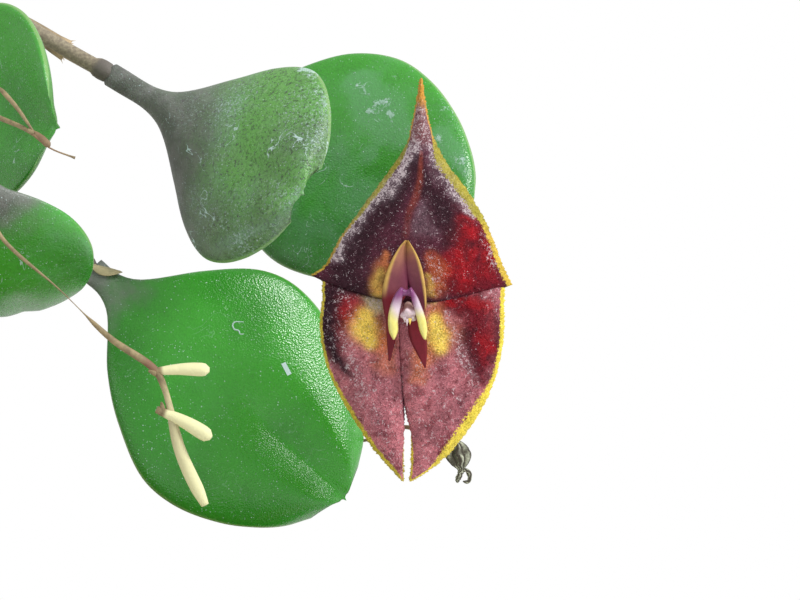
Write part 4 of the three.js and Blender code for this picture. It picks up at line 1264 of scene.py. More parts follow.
class RacemesOperator(bpy.types.Operator):
    """Draws the thread-like flower stalks with their nodes, bracts, stubs and buds"""

    bl_idname = "orchid.racemes"
    bl_label = "Racemes"

    def flowering(self):
        points = (beside_leaf(SHOOTS[0], -1), (18, 4.4, 75.6), (24, 4.4, 71), (29.3, 3, 68.13),
                  (32.28, -0.6, 68.94), (33.99, -2, 68.47))
        tan = through((0, 0), (0.8, -0.2), (0.9, -0.9), (1, -0.6))
        slim = through((0, STALK_RADIUS), (0.3, STALK_RADIUS), (0.6, 0.11), (0.9, 0.11), (1, STALK_RADIUS))
        swell = through((0, STALK_RADIUS), (0.6, STALK_RADIUS), (0.8, 0.5), (1, 0.42))
        up = ((33.4, -1.7, 68.7), (33.6, -2.6, 70.6), (33, -4.4, 73.8), (32.3, -5.7, 75.5))
        base = np.array(points[0])
        return [
            thread("stalk", points, slim, 90, tan),
            thread("flower_pedicel", up, swell, 30, through((0, -0.6), (0.4, 0.2), (1, 0.6))),
            pedicel((33.3, -1.6, 68.6), (34.2, -2.1, 68.4), 0.42, -0.6),
            bract((33.3, -1.5, 68.7), (0.5, -0.1, 0.6), (0.5, -0.6, -0.4), 0.7),
            bract((14.6, 1.4, 77.65), (0.94, -0.1, -0.3), (0.4, -0.45, 0.8), 1.0, 0.1, 1.8, 0.4),
            bract(base + (-0.4, -0.5, 0.3), (-0.6, 0, 0.5), (0.3, -0.3, 1), 0.4),
        ]

    def spent_front(self):
        points = ((10.4, -14.8, 82.2), (10.3, -15.4, 81), (10.79, -15.5, 79.45), (13.97, -15.5, 76.53),
                  (16.62, -15.5, 73.99), (19.01, -15.5, 72.29), (19.54, -15.5, 71.23), (20.33, -15.5, 68.05),
                  (21.64, -15, 65.11))
        thick = through(
            (0, 0.2), (0.1, 0.12), (0.22, 0.1), (0.34, 0.035), (0.42, 0.035), (0.46, 0.13),
            (0.58, 0.2), (0.66, 0.2), (0.72, 0.17), (0.82, 0.3), (0.95, 0.36), (1, 0.22))
        hues = through(
            (0, 0), (0.28, 0), (0.34, -0.5), (0.44, -0.1), (0.58, 0.1), (0.635, -0.9),
            (0.67, 0.2), (0.8, 0.5), (1, 0.8))
        return [
            thread("stalk", points, thick, 110, hues),
            pedicel((18.9, -15.5, 72.2), (21.9, -15.5, 72.3), 0.36),
            pedicel((19.1, -15.5, 70.2), (22.0, -15.9, 68.7), 0.4),
            bract((18.7, -15.5, 72.3), (0.7, 0, -0.25), (-0.3, -0.8, -0.5), 0.3),
            bract((19.5, -15.5, 70.6), (0.1, 0, -1), (-0.9, -0.4, 0), 0.42, hue=-0.2),
        ]

    def spent_upper(self):
        points = (beside_leaf(SHOOTS[3], 1), (3.5, -5.8, 88.4), (7, -9, 87.2), (10.48, -11, 85.79),
                  (12.22, -13, 84.98), (13.32, -13.5, 84.11), (14.66, -13.5, 83.58))
        thin = through((0, STALK_RADIUS), (0.6, 0.16), (0.84, 0.12), (0.92, 0.05), (0.985, 0.05), (1, 0.08))
        return [
            thread("stalk", points, thin, 90, through((0, 0), (0.8, 0.1), (0.9, -0.6), (1, -0.3))),
            pedicel((12.4, -13, 85), (10.5, -12, 87.4), 0.13, -0.2),
            pedicel((12.1, -12.9, 85.1), (13.3, -13.5, 84.2), 0.2, -0.5),
            bract((12.1, -13, 85.1), (0.6, -0.2, -0.5), (0.2, -0.9, 0.3), 0.24),
        ]

    def budding(self):
        points = (beside_leaf(SHOOTS[6], 1), (-16.5, -9.8, 82.4), (-19.6, -12, 82.4), (-22.6, -14.2, 81.2))
        return [
            thread("stalk", points, lambda s: STALK_RADIUS, 40, through((0, 0.2), (1, 0.6))),
            pedicel((-17.6, -10.6, 82.5), (-17.2, -11.4, 84.4), 0.55),
            pedicel((-19.4, -11.9, 82.4), (-20.2, -11.2, 84.2), 0.5),
            pedicel((-21.2, -13.2, 81.9), (-21.2, -14.2, 83.4), 0.42),
            pedicel((-22.5, -14.1, 81.2), (-23.6, -14.8, 81.8), 0.36),
            bract((-17.6, -10.7, 82.4), (-0.1, -0.4, 0.9), (0.8, 0.2, 0), 0.5),
            bract((-19.4, -12, 82.3), (-0.3, 0.3, 0.9), (-0.2, -0.9, 0), 0.45),
        ]

    def execute(self, context):
        surface = stalk_surface(context.scene.orchid_colours)
        stalks = {
            "flowering": self.flowering(),
            "spent_front": self.spent_front(),
            "spent_upper": self.spent_upper(),
            "budding": self.budding(),
        }
        for name, pieces in stalks.items():
            settle(joined(f"stalk_{name}", pieces), surface, "raceme", f"raceme_{name}")
        return {"FINISHED"}


class DriedFlowerOperator(bpy.types.Operator):
    """Crumples the dried flower that still hangs on the stalk"""

    bl_idname = "orchid.dried_flower"
    bl_label = "Dried flower"
    SIDES = 48

    def shrivelled(self, name, points, radius, rows, folds, seed):
        """A fluted skin; its mark is 1 along the crests, where the dried petal is dark, and in the grooves,
        where the dark is a painted shade.
        """
        rough = ragged(9, seed)

        def wave(angle, share):
            return np.cos(folds * angle + 1.4 * rough(share))

        def flute(angle, ring):
            return 1 + 0.34 * wave(angle, ring / rows) * (0.7 + 0.3 * rough(angle / 6.29))

        def marks(u, share):
            return {"fold": smooth(np.abs(wave(2 * math.pi * u, share)), 0.45, 0.85)}

        return rod(name, Route(points), even(radius, rows), self.SIDES, flute, marks)

    def execute(self, context):
        bag = through((0, 0.1), (0.1, 0.22), (0.3, 0.46), (0.52, 0.6), (0.74, 0.42), (0.9, 0.18), (1, 0.14))
        curl = through((0, 0.12), (0.3, 0.14), (0.8, 0.12), (1, 0.05))
        pieces = [
            self.shrivelled(
                "bag", ((34.9, -2, 68.35), (35.25, -2.1, 67.5), (35.4, -2, 66.45)),
                bag, rows=44, folds=5, seed=3),
            self.shrivelled(
                "curl", ((35.4, -2, 66.6), (35.3, -2.15, 66.3), (35.2, -2.1, 66.1), (35.16, -2, 65.9)),
                curl, rows=20, folds=2, seed=4),
            self.shrivelled(
                "curl", ((35.4, -2, 66.6), (35.72, -1.95, 66.55), (35.86, -1.9, 66.25),
                         (35.78, -1.9, 65.94), (35.5, -2, 65.96)),
                curl, rows=28, folds=2, seed=8),
        ]
        surface = paper_surface(context.scene.orchid_colours)
        settle(joined("dried_flower_paper", pieces), surface, "dried_flower", "dried_flower")
        return {"FINISHED"}


def outline(points):
    """A smooth plane curve through points, each the same share of the way along."""
    knots = np.array(points, float)
    last = len(knots) - 1

    def at(t):
        i = np.minimum((np.asarray(t) * last).astype(int), last - 1)
        w = (np.asarray(t) * last - i)[:, None]
        before, here, there = knots[np.maximum(i - 1, 0)], knots[i], knots[i + 1]
        after = knots[np.minimum(i + 2, last)]
        return between(here, there, (there - before) / 2, (after - here) / 2, w)

    return at


def in_flower(points):
    """From the flower's own frame, facing the viewer, to the plant's."""
    return np.array(FLOWER_CENTRE) + np.stack([points[:, 0], -points[:, 2], points[:, 1]], axis=1)


def flower_route(*points):
    """A route through points in the flower's own frame."""
    return Route(in_flower(np.array(points)))


def stroke(x, y, *stops):
    """How far a soft band through (x, y, half width) stops covers each point."""
    cover = 0 * x
    for (ax, ay, wide), (bx, by, wider) in zip(stops, stops[1:] or stops):
        run, rise = bx - ax, by - ay
        share = np.clip(((x - ax) * run + (y - ay) * rise) / (run * run + rise * rise + 1e-9), 0, 1)
        gap = np.hypot(x - ax - share * run, y - ay - share * rise)
        cover = np.maximum(cover, np.exp(-(gap / (wide + share * (wider - wide))) ** 3))
    return cover


def painted(ground, *layers):
    """Colours laid one over the other; each layer is a colour with its cover at each point."""
    colour = np.array([ground[:]])
    for tint, cover in layers:
        colour = colour + (np.array(tint[:]) - colour) * np.clip(cover, 0, 1)[:, None]
    return colour


def patches(x, y, size, seed):
    """Smooth random patches over a plane, about size apart, between 0 and 1."""
    count = 90
    knots = np.random.default_rng(seed).uniform(0, 1, (count, count))
    i, j = np.floor(x / size).astype(int), np.floor(y / size).astype(int)
    a, b = smooth(x / size - i, 0, 1), smooth(y / size - j, 0, 1)

    def row(k):
        return knots[i % count, k % count] * (1 - a) + knots[(i + 1) % count, k % count] * a

    return row(j) * (1 - b) + row(j + 1) * b


def wobbled(x, y):
    """A small smooth shift that makes painted borders uneven."""
    def shift(seed):
        return 0.35 * (patches(x, y, 0.9, seed) - 0.5) + 0.3 * (patches(x, y, 0.33, seed + 1) - 0.5)

    return x + shift(61), y + shift(63)


class Blade:
    """A part of the flower between two edges that run from its foot to its tip."""

    def __init__(self, left, right, depth, thickness, hem=None, fringe=0.0, seed=0):
        self.edges = outline(left), outline(right)
        self.depth = depth
        self.thickness = thickness
        self.hem = hem or (lambda q, t: 0 * t)
        self.fringe = fringe
        self.ragged = ragged(150, seed), ragged(150, seed + 1)

    def flat(self, q, t):
        """Place in the plane of the flower."""
        left, right = (edge(t) for edge in self.edges)
        share = ((q + 1) / 2)[:, None]
        point = left * (1 - share) + right * share
        outward = unit(right - left + 1e-9) * np.sign(q)[:, None]
        rough = np.where(q < 0, self.ragged[0](t), self.ragged[1](t)) * smooth(np.abs(q), 0.82, 1)
        point = point + outward * (self.fringe * rough)[:, None]
        point[:, 1] += self.hem(q, t)
        return point

    def width(self, t):
        left, right = (edge(t) for edge in self.edges)
        return np.linalg.norm(right - left, axis=1)

    def place(self, q, t, side):
        x, y = self.flat(q, t).T
        level = np.sqrt(np.maximum(0, 1 - np.minimum(np.abs(q), 1) ** 8))
        half = self.thickness / 2 * np.sqrt(np.maximum(0, 1 - np.abs(2 * t - 1) ** 10))
        return np.stack([x, y, self.depth(q, t) + side * half * level], axis=1)

    def skin(self, name, columns, rows, marks):
        def section(u, v):
            angle = around(u, columns)
            return np.cos(angle), v, np.sign(np.round(np.sin(angle), 6))

        def marked(u, v):
            q, t, _ = section(u, v)
            return marks(q, t, np.clip(4 * np.sin(2 * math.pi * u), -1, 1))

        return skin(name, columns, rows, lambda u, v: in_flower(self.place(*section(u, v))), marked)


class Sepal(Blade):
    """A sepal with its colours. painting(x, y, q, t) gives them, and border(q, t) the margin's width."""

    RAGGED_DEPTH = 0.04

    def __init__(self, left, right, depth, hem, painting, border, seed):
        super().__init__(left, right, depth, SEPAL_THICKNESS, hem, self.RAGGED_DEPTH, seed)
        self.painting = painting
        self.border = border

    def marks(self, q, t, side):
        x, y = self.flat(q, t).T
        values = self.painting(x, y, q, t)
        inside = (1 - np.abs(q)) * self.width(t) / 2
        values["margin"] = 1 - smooth(inside / self.border(q, t), 0.45, 1.5)
        values["speckle"] = values["speckle"] * (side > 0)
        return values

    def cones(self, name, rng, count, height):
        """Papillae over the front face, each in its own shade of the colour below it."""
        q, t = rng.uniform(-0.97, 0.97, count), rng.uniform(0.02, 0.97, count)
        width = self.width(t)
        kept = rng.uniform(0, 1, count) < width / width.max()
        q, t = q[kept], t[kept]
        front = np.ones(len(q))
        step = 0.004
        here = self.place(q, t, front)
        beside = self.place(q + step, t, front)
        ahead = self.place(q, t + step, front)
        normal = unit(np.cross(beside - here, ahead - here))
        normal *= np.sign(normal[:, 2:])
        lean = unit(normal + rng.normal(0, 0.35, normal.shape))
        values = self.marks(q, t, front)
        values["tint"] = values["tint"] * rng.uniform(0.5, 1.7, len(q))[:, None]
        values["speckle"] = values["speckle"] * rng.uniform(0.4, 1.5, len(q))
        where = standing(
            in_flower(here - 0.02 * normal), in_flower(lean) - FLOWER_CENTRE,
            rng.uniform(0.02, 0.036, len(q)), height * rng.uniform(0.5, 1.1, len(q)))
        return scattered(name, spike(), where, values)

    def fringe_cones(self, name, rng, count, height):
        """Longer cones that stand out along the margin."""
        t = np.tile(np.linspace(0.01, 0.985, count), 2) + rng.uniform(-0.004, 0.004, 2 * count)
        q = np.repeat([-1.0, 1.0], count)
        kept = self.border(q, t) > 0.05
        q, t = q[kept], t[kept]
        here = self.place(q * 0.995, t, rng.uniform(-0.2, 0.9, len(q)))
        inner = self.place(q * 0.9, t, np.zeros(len(q)))
        out = unit(here - inner)
        out[:, 2] += rng.uniform(-0.2, 0.7, len(q))
        out[:, 1] += rng.uniform(-0.3, 0.3, len(q))
        values = self.marks(q, t, np.ones(len(q)))
        where = standing(
            in_flower(here - 0.03 * unit(out)), in_flower(out) - FLOWER_CENTRE,
            rng.uniform(0.025, 0.045, len(q)), height * rng.uniform(0.3, 1.1, len(q)))
        return scattered(name, spike(), where, values)


def dorsal_sepal(colours):
    left = ((-5.5, 0.54), (-4.7, 1.1), (-3.95, 2.45), (-3.1, 3.65), (-2.15, 4.95), (-1.1, 6.35), (-0.3, 7.55),
            (0.05, 8.8), (0.3, 10.1), (0.5, 11.25))
    right = ((5.52, 0.02), (5.0, 1.1), (4.5, 2.45), (3.95, 3.7), (3.05, 5.2), (2.0, 6.55), (1.35, 7.75),
             (0.98, 8.9), (0.76, 10.1), (0.62, 11.25))

    def hem(q, t):
        return -1.25 * (1 - q * q) * (1 - t) ** 3

    def depth(q, t):
        return 0.3 * (1 - q * q) - 0.35 * q * q * (1 - t) + 0.5 * t * t

    def painting(x, y, q, t):
        rib = stroke(
            x, y, (0.55, 7.2, 0.1), (0.49, 5.72, 0.17), (0.26, 4.76, 0.22),
            (-0.1, 3.95, 0.2), (-0.3, 2.7, 0.2))
        rib = rib * (0.45 + 0.4 * smooth(y, 3, 5))
        halo = stroke(x, y, (1.1, 1.5, 0.35), (1.5, 0.8, 0.55), (1.4, -0.2, 0.5))
        x, y = wobbled(x, y)
        left_band = stroke(
            x, y, (0.15, 7.9, 0.4), (-0.55, 6.2, 0.55), (-1.9, 4.85, 0.5),
            (-3.15, 3.5, 0.42), (-4.1, 1.6, 0.4))
        right_band = stroke(x, y, (0.85, 7.7, 0.32), (1.5, 6.4, 0.42), (2.6, 4.8, 0.35), (3.3, 3.9, 0.25))
        tail = smooth(y, 7.4, 8.6)
        # The foot of the sepal is painted dark: a painted shade in the fold where it meets the lateral
        # sepals.
        ends = 1 - smooth(t, 0, 0.035)
        fine, wide = patches(x, y, 0.3, 65), patches(x, y, 0.7, 66)
        red = stroke(x, y, (3.1, 3.2, 0.6), (3.5, 1.9, 1.45), (3.6, 0.5, 1.4))
        left_warmth = stroke(x, y, (-1.3, 1.8, 0.2), (-1.65, 0.8, 0.4), (-1.8, -0.2, 0.4))
        tint = painted(
            colours.dusk,
            (colours.deep_red, 0.35 * stroke(x, y, (2.6, 4.2, 0.4), (3.9, 3.2, 0.6), (4.4, 2.2, 0.6))),
            (colours.black_plum, stroke(
                x, y, (0.3, 6.9, 0.35), (-0.3, 5.6, 0.7), (-1.8, 3.95, 0.95), (-3, 2.3, 1), (-3.5, 0.9, 1.05),
                (-3.3, -0.2, 1.1))),
            (colours.black_plum, 0.95 * stroke(
                x, y, (0.6, 6.4, 0.35), (1.15, 5.2, 0.7), (1.8, 4.1, 0.95), (2.15, 3.2, 0.85),
                (1.95, 2.4, 0.5))),
            (colours.deep_red, red),
            (colours.deep_red, stroke(x, y, (1.7, 0.7, 0.8), (2.6, -0.1, 0.7), (4.2, 0.3, 0.6))),
            (colours.crimson, 0.85 * red * smooth(wide, 0.1, 0.8)),
            (colours.crimson, 0.8 * stroke(x, y, (2.9, 1.7, 0.6), (2.1, 0.8, 0.6))),
            (colours.black_plum, 0.5 * red * smooth(fine, 0.5, 0.9)),
            (colours.crimson, 0.6 * halo),
            (colours.orange, (0.1 + 0.55 * fine) * halo),
            (colours.orange, (0.2 + 0.6 * fine) * left_warmth),
            (colours.gold, 0.45 * stroke(x, y, (-1.7, 0.4, 0.3), (-1.8, -0.5, 0.4))),
            (colours.gold, 0.4 * stroke(x, y, (0.95, 0.6, 0.2), (1.05, -0.4, 0.3))),
            (colours.lilac, 0.16 * stroke(x, y, (0.6, 3.2, 0.7), (0.7, 4.2, 0.3))),
            (colours.sienna, 0.75 * rib),
            (colours.lilac, 0.25 * left_band),
            (colours.lilac, 0.2 * right_band),
            (colours.sienna, 0.6 * tail),
            (colours.lilac, 0.2 * tail),
            (colours.amber, smooth(y, 9.2, 10.4)),
            (colours.black_plum, 0.75 * ends))
        rim = painted(
            colours.margin,
            (colours.olive, np.where(q < 0, 1, 0.2 + 0.7 * smooth(y, 2, 4))),
            (colours.amber, 0.4 * (1 - smooth(y, 2.6, 3.8))),
            (colours.amber, smooth(y, 7.6, 8.8)))
        pink = stroke(x, y, (4.1, 2.6, 0.35), (4.5, 1.1, 0.45))
        speckle = np.max([
            left_band, 0.85 * right_band, 0.7 * tail, 0.6 * pink, 0.5 * halo, 0.15 - 0.12 * red], axis=0)
        return {"tint": tint, "rim": rim, "speckle": speckle * (1 - smooth(y, 9.4, 10.4))}

    def border(q, t):
        on_left = 0.06 + 0.2 * smooth(t, 0.25, 0.45)
        on_right = 0.22 + 0.28 * smooth(t, 0.28, 0.42)
        return np.where(q < 0, on_left, on_right) * (1 - smooth(t, 0.55, 0.72)) + 0.07

    return Sepal(left, right, depth, hem, painting, border, 20)


def lateral_sepal(outer, inner, painting, border, seed):
    on_left = outer[0][0] < inner[0][0]
    left, right = (outer, inner) if on_left else (inner, outer)
    inner_side = 1 if on_left else -1

    def hem(q, t):
        return -0.12 * (1 - q * q) * (1 - t) ** 8

    def depth(q, t):
        swell = 0.75 * np.sin(math.pi * (0.1 + 0.9 * t))
        fall = np.where(q * inner_side > 0, 0.5, 1)
        return (1 - fall * q * q) * swell - 0.25 * (1 - t) - 0.2 * np.clip(1 - t / 0.08, 0, 1)

    return Sepal(left, right, depth, hem, painting, border, seed)


def lateral_left(colours):
    outer = ((-4.85, 0.4), (-4.85, -0.9), (-4.97, -2.3), (-4.7, -4.0), (-4.1, -5.6), (-3.2, -7.2),
             (-2.2, -8.75), (-1.3, -9.8), (-0.45, -10.72))
    inner = ((-0.56, -0.8), (-0.58, -1.8), (-0.6, -3), (-0.52, -4.5), (-0.4, -5.9), (-0.36, -7.2),
             (-0.37, -8.5), (-0.4, -9.7), (-0.4, -10.7))

    def painting(x, y, *_):
        # A dark line down the inner edge: a painted shade in the slit between the lateral sepals.
        slit_shade = stroke(x, y, (-0.5, -4.6, 0.07), (-0.38, -6, 0.14), (-0.34, -7.3, 0.1))
        spot = stroke(x, y, (-2.45, -1.7, 0.5), (-2.5, -2.4, 0.72), (-2.2, -3.1, 0.42))
        glow = stroke(x, y, (-2.6, -1.5, 0.5), (-2.5, -2.3, 0.95), (-1.7, -3.0, 0.7))
        x, y = wobbled(x, y)
        band = stroke(
            x, y, (-3.6, -2.6, 0.3), (-3.3, -3.7, 0.5), (-2.9, -4.8, 0.65), (-2.6, -6, 0.6),
            (-1.9, -7.2, 0.4))
        white = stroke(x, y, (-2.1, -0.6, 0.5), (-1.8, -1.2, 0.4))
        # A dark band along the fold below the dorsal sepal: a painted shade where the dorsal sepal overlaps.
        fold = stroke(x, y, (-4.7, 0, 0.3), (-3.6, -0.25, 0.35), (-2.2, -0.3, 0.25))
        fine, wide = patches(x, y, 0.3, 67), patches(x, y, 0.8, 68)
        tint = painted(
            colours.mauve,
            (colours.orange, 0.5 * stroke(x, y, (-1.3, -2.8, 0.6), (-1.4, -4.4, 0.6))),
            (colours.dusk, 0.3 * smooth(wide, 0.35, 0.8)),
            (colours.deep_red, 0.5 * smooth(fine, 0.45, 0.9)),
            (colours.dusk, 0.35 * stroke(x, y, (-3.1, -4.6, 0.5), (-2.6, -6.2, 0.5), (-1.7, -8.0, 0.4))),
            (colours.deep_red, 0.9 * stroke(x, y, (-3.9, -0.4, 0.7), (-3.8, -2, 0.6), (-3.7, -3.4, 0.4))),
            (colours.black_plum, stroke(
                x, y, (-4.4, -0.5, 0.65), (-4.55, -2.2, 0.62), (-4.45, -3.3, 0.6), (-3.95, -4.2, 0.55),
                (-3.3, -4.9, 0.3))),
            (colours.crimson, 0.7 * stroke(x, y, (-3.0, -0.7, 0.5), (-3.5, -1.7, 0.35))),
            (colours.orange, 0.75 * glow),
            (colours.gold, spot),
            (colours.lip_tip, 0.65 * white),
            (colours.glint, 0.35 * white),
            (colours.mauve, 0.3 * band),
            (colours.black_plum, 0.9 * fold),
            (colours.dusk, 0.9 * slit_shade))
        speckle = np.max([0.55 * band, 0.7 * white, 0.4 * smooth(fine, 0, 0.7)], axis=0)
        rim = painted(colours.margin, (colours.olive, np.full(len(x), 0.3)))
        return {"tint": tint, "rim": rim, "speckle": speckle}

    def border(q, t):
        outer_width = 0.16 + 0.12 * smooth(t, 0.4, 0.6) - 0.12 * smooth(t, 0.8, 1)
        return np.where(q < 0, outer_width, 0.002 + 0.05 * smooth(t, 0.72, 0.85))

    return lateral_sepal(outer, inner, painting, border, 31)


def lateral_right(colours):
    outer = ((5.12, 0.3), (5.08, -1.0), (5.08, -2.4), (4.85, -4.1), (4.35, -5.75), (3.5, -7.35), (2.3, -8.95),
             (1.15, -9.98), (0, -10.72))
    inner = ((-0.68, -0.8), (-0.7, -1.8), (-0.7, -3), (-0.6, -4.5), (-0.47, -5.9), (-0.3, -6.9), (0.0, -8.2),
             (0.0, -9.6), (-0.09, -10.7))

    def painting(x, y, *_):
        spot = stroke(x, y, (1.3, -1.9, 0.4), (1.45, -2.8, 0.68), (1.6, -3.4, 0.4))
        glow = stroke(x, y, (1.3, -1.5, 0.55), (1.6, -2.7, 0.95), (0.8, -3.8, 0.6))
        x, y = wobbled(x, y)
        band = stroke(
            x, y, (1.95, -1.7, 0.25), (2.45, -2.7, 0.32), (2.75, -3.7, 0.4), (3.1, -4.8, 0.42),
            (3.4, -5.6, 0.35))
        warm = stroke(x, y, (0.3, -3.6, 0.5), (0.4, -4.9, 0.45))
        # A dark band along the fold below the dorsal sepal: a painted shade where the dorsal sepal overlaps.
        fold = stroke(x, y, (1.3, -0.75, 0.2), (3.2, -0.35, 0.22), (5.2, 0.4, 0.3))
        fine, wide = patches(x, y, 0.3, 69), patches(x, y, 0.8, 70)
        red = stroke(
            x, y, (2.0, -1.1, 0.7), (3.3, -1.3, 1.0), (3.75, -2.6, 1.5), (3.75, -4.0, 1.25),
            (3.5, -5, 0.75))
        bright = stroke(x, y, (4.1, -1.6, 0.6), (4.1, -4.0, 0.5))
        low = stroke(x, y, (4.0, -6.2, 0.5), (2.9, -7.9, 0.7), (1.5, -9.3, 0.4))
        tint = painted(
            colours.mauve,
            (colours.dusk, 0.32 * smooth(wide, 0.3, 0.8)),
            (colours.deep_red, 0.5 * smooth(fine, 0.45, 0.9)),
            (colours.dusk, 0.35 * stroke(x, y, (3.0, -5.6, 0.5), (2.6, -7.2, 0.4))),
            (colours.deep_red, 0.55 * low * smooth(wide, 0.1, 0.7)),
            (colours.deep_red, red),
            (colours.black_plum, 0.6 * stroke(x, y, (2.95, -2.6, 0.35), (3.1, -3.8, 0.5), (3.5, -4.7, 0.4))),
            (colours.crimson, 0.8 * stroke(x, y, (2.0, -1.2, 0.3), (3.3, -0.95, 0.32), (4.2, -1.3, 0.4))),
            (colours.crimson, 0.7 * smooth(wide, 0.3, 0.8) * bright),
            (colours.black_plum, 0.55 * red * smooth(fine, 0.55, 0.85)),
            (colours.orange, 0.65 * glow),
            (colours.gold, spot),
            (colours.orange, 0.5 * warm),
            (colours.lip_tip, 0.5 * stroke(x, y, (1.0, -0.9, 0.35))),
            (colours.mauve, 0.35 * band),
            (colours.black_plum, 0.9 * fold))
        corner = stroke(x, y, (4.4, -0.4, 0.6))
        grain = 0.35 * smooth(fine, 0, 0.7) * (1 - 0.7 * red)
        speckle = np.max([0.6 * band, 0.4 * warm, 0.5 * corner, grain], axis=0)
        return {"tint": tint, "rim": np.tile(colours.margin[:], (len(x), 1)), "speckle": speckle}

    def border(q, t):
        outer_width = 0.24 + 0.34 * smooth(t, 0.42, 0.6) - 0.46 * smooth(t, 0.68, 0.92)
        return np.where(q > 0, outer_width, 0.002 + 0.12 * smooth(t, 0.72, 0.85))

    return lateral_sepal(outer, inner, painting, border, 43)


class SepalsOperator(bpy.types.Operator):
    """Spreads the three sepals, with their colours, papillae and fringed margins"""

    bl_idname = "orchid.sepals"
    bl_label = "Sepals"
    COLUMNS = 176
    ROWS = 150
    CONES = 14000
    FRINGE_CONES = 320
    SEED = 50

    def execute(self, context):
        sizes = context.scene.orchid_sizes
        colours = context.scene.orchid_colours
        surface = sepal_surface(colours)
        sepals = {
            "dorsal_sepal": dorsal_sepal(colours),
            "lateral_sepal_left": lateral_left(colours),
            "lateral_sepal_right": lateral_right(colours),
        }
        for i, (node, sepal) in enumerate(sepals.items()):
            rng = np.random.default_rng(self.SEED + i)
            name = f"{node}_flesh"
            pieces = [
                sepal.skin(name, self.COLUMNS, self.ROWS, sepal.marks),
                sepal.cones("papillae", rng, self.CONES, sizes.papilla / MM),
                sepal.fringe_cones("fringe", rng, self.FRINGE_CONES, sizes.fringe / MM),
            ]
            settle(joined(name, pieces), surface, "sepal", node)
        return {"FINISHED"}


class PetalsOperator(bpy.types.Operator):
    """Folds the two petals into the hood, with their dark lower lobes"""

    bl_idname = "orchid.petals"
    bl_label = "Petals"
    COLUMNS = 72
    ROWS = 72

    def petal(self, name, colours, left, right, outer_side):
        """outer_side is -1 for the left petal and 1 for the right one."""
        def depth(q, t):
            return 1.55 + outer_side * 0.35 * q * np.cos(math.pi * np.minimum(0.5, t * 0.8))

        def marks(q, t, _):
            outward = outer_side * q
            rim = smooth(outward, 0.5, 0.8) * (1 - smooth(t, 0.44, 0.56))
            # Darker towards the inner edge, where the two petals meet: a painted shade along the hood's
            # midline.
            middle = smooth(-outward, -0.2, 1) * smooth(t, 0.08, 0.3)
            tint = painted(
                colours.hood,
                (colours.hood_purple, 0.85 * smooth(t, 0.12, 0.42)),
                (colours.hood_purple, 0.9 * middle),
                (colours.hood_purple, 0.7 * (outer_side > 0) * smooth(t, 0.02, 0.2)),
                (colours.lobe, smooth(t, 0.46, 0.56)),
                (colours.hood_gold, rim + 0.8 * (1 - smooth(t, 0.02, 0.12))))
            return {"tint": tint}

        return Blade(left, right, depth, PETAL_THICKNESS).skin(name, self.COLUMNS, self.ROWS, marks)

    def execute(self, context):
        colours = context.scene.orchid_colours
        surface = waxy_surface("petal_flesh", 0.42, 0)
        left = self.petal(
            "petal_left_hood", colours,
            ((-0.32, 2.42), (-0.66, 2.03), (-1.05, 1.36), (-1.38, 0.54), (-1.57, -0.41), (-1.52, -1.25),
             (-1.38, -1.95), (-1.32, -3), (-1.22, -4.15)),
            ((-0.16, 2.4), (-0.14, 1.9), (-0.12, 1.3), (-0.12, 0.5), (-0.2, -0.4), (-0.6, -1.2), (-0.8, -2),
             (-0.85, -3), (-1.12, -4.1)), -1)
        right = self.petal(
            "petal_right_hood", colours,
            ((-0.34, 2.4), (-0.36, 1.5), (-0.32, 0.7), (-0.05, -0.25), (0.3, -1.2), (-0.15, -1.95),
             (-0.08, -2.9), (0.3, -3.7), (0.72, -4.48)),
            ((-0.14, 2.42), (0.33, 1.62), (0.62, 0.81), (0.8, -0.25), (0.83, -1.2), (0.72, -1.9),
             (0.85, -2.8), (0.88, -3.6), (0.8, -4.5)), 1)
        settle(left, surface, "petal", "petal_left")
        settle(right, surface, "petal", "petal_right")
        return {"FINISHED"}


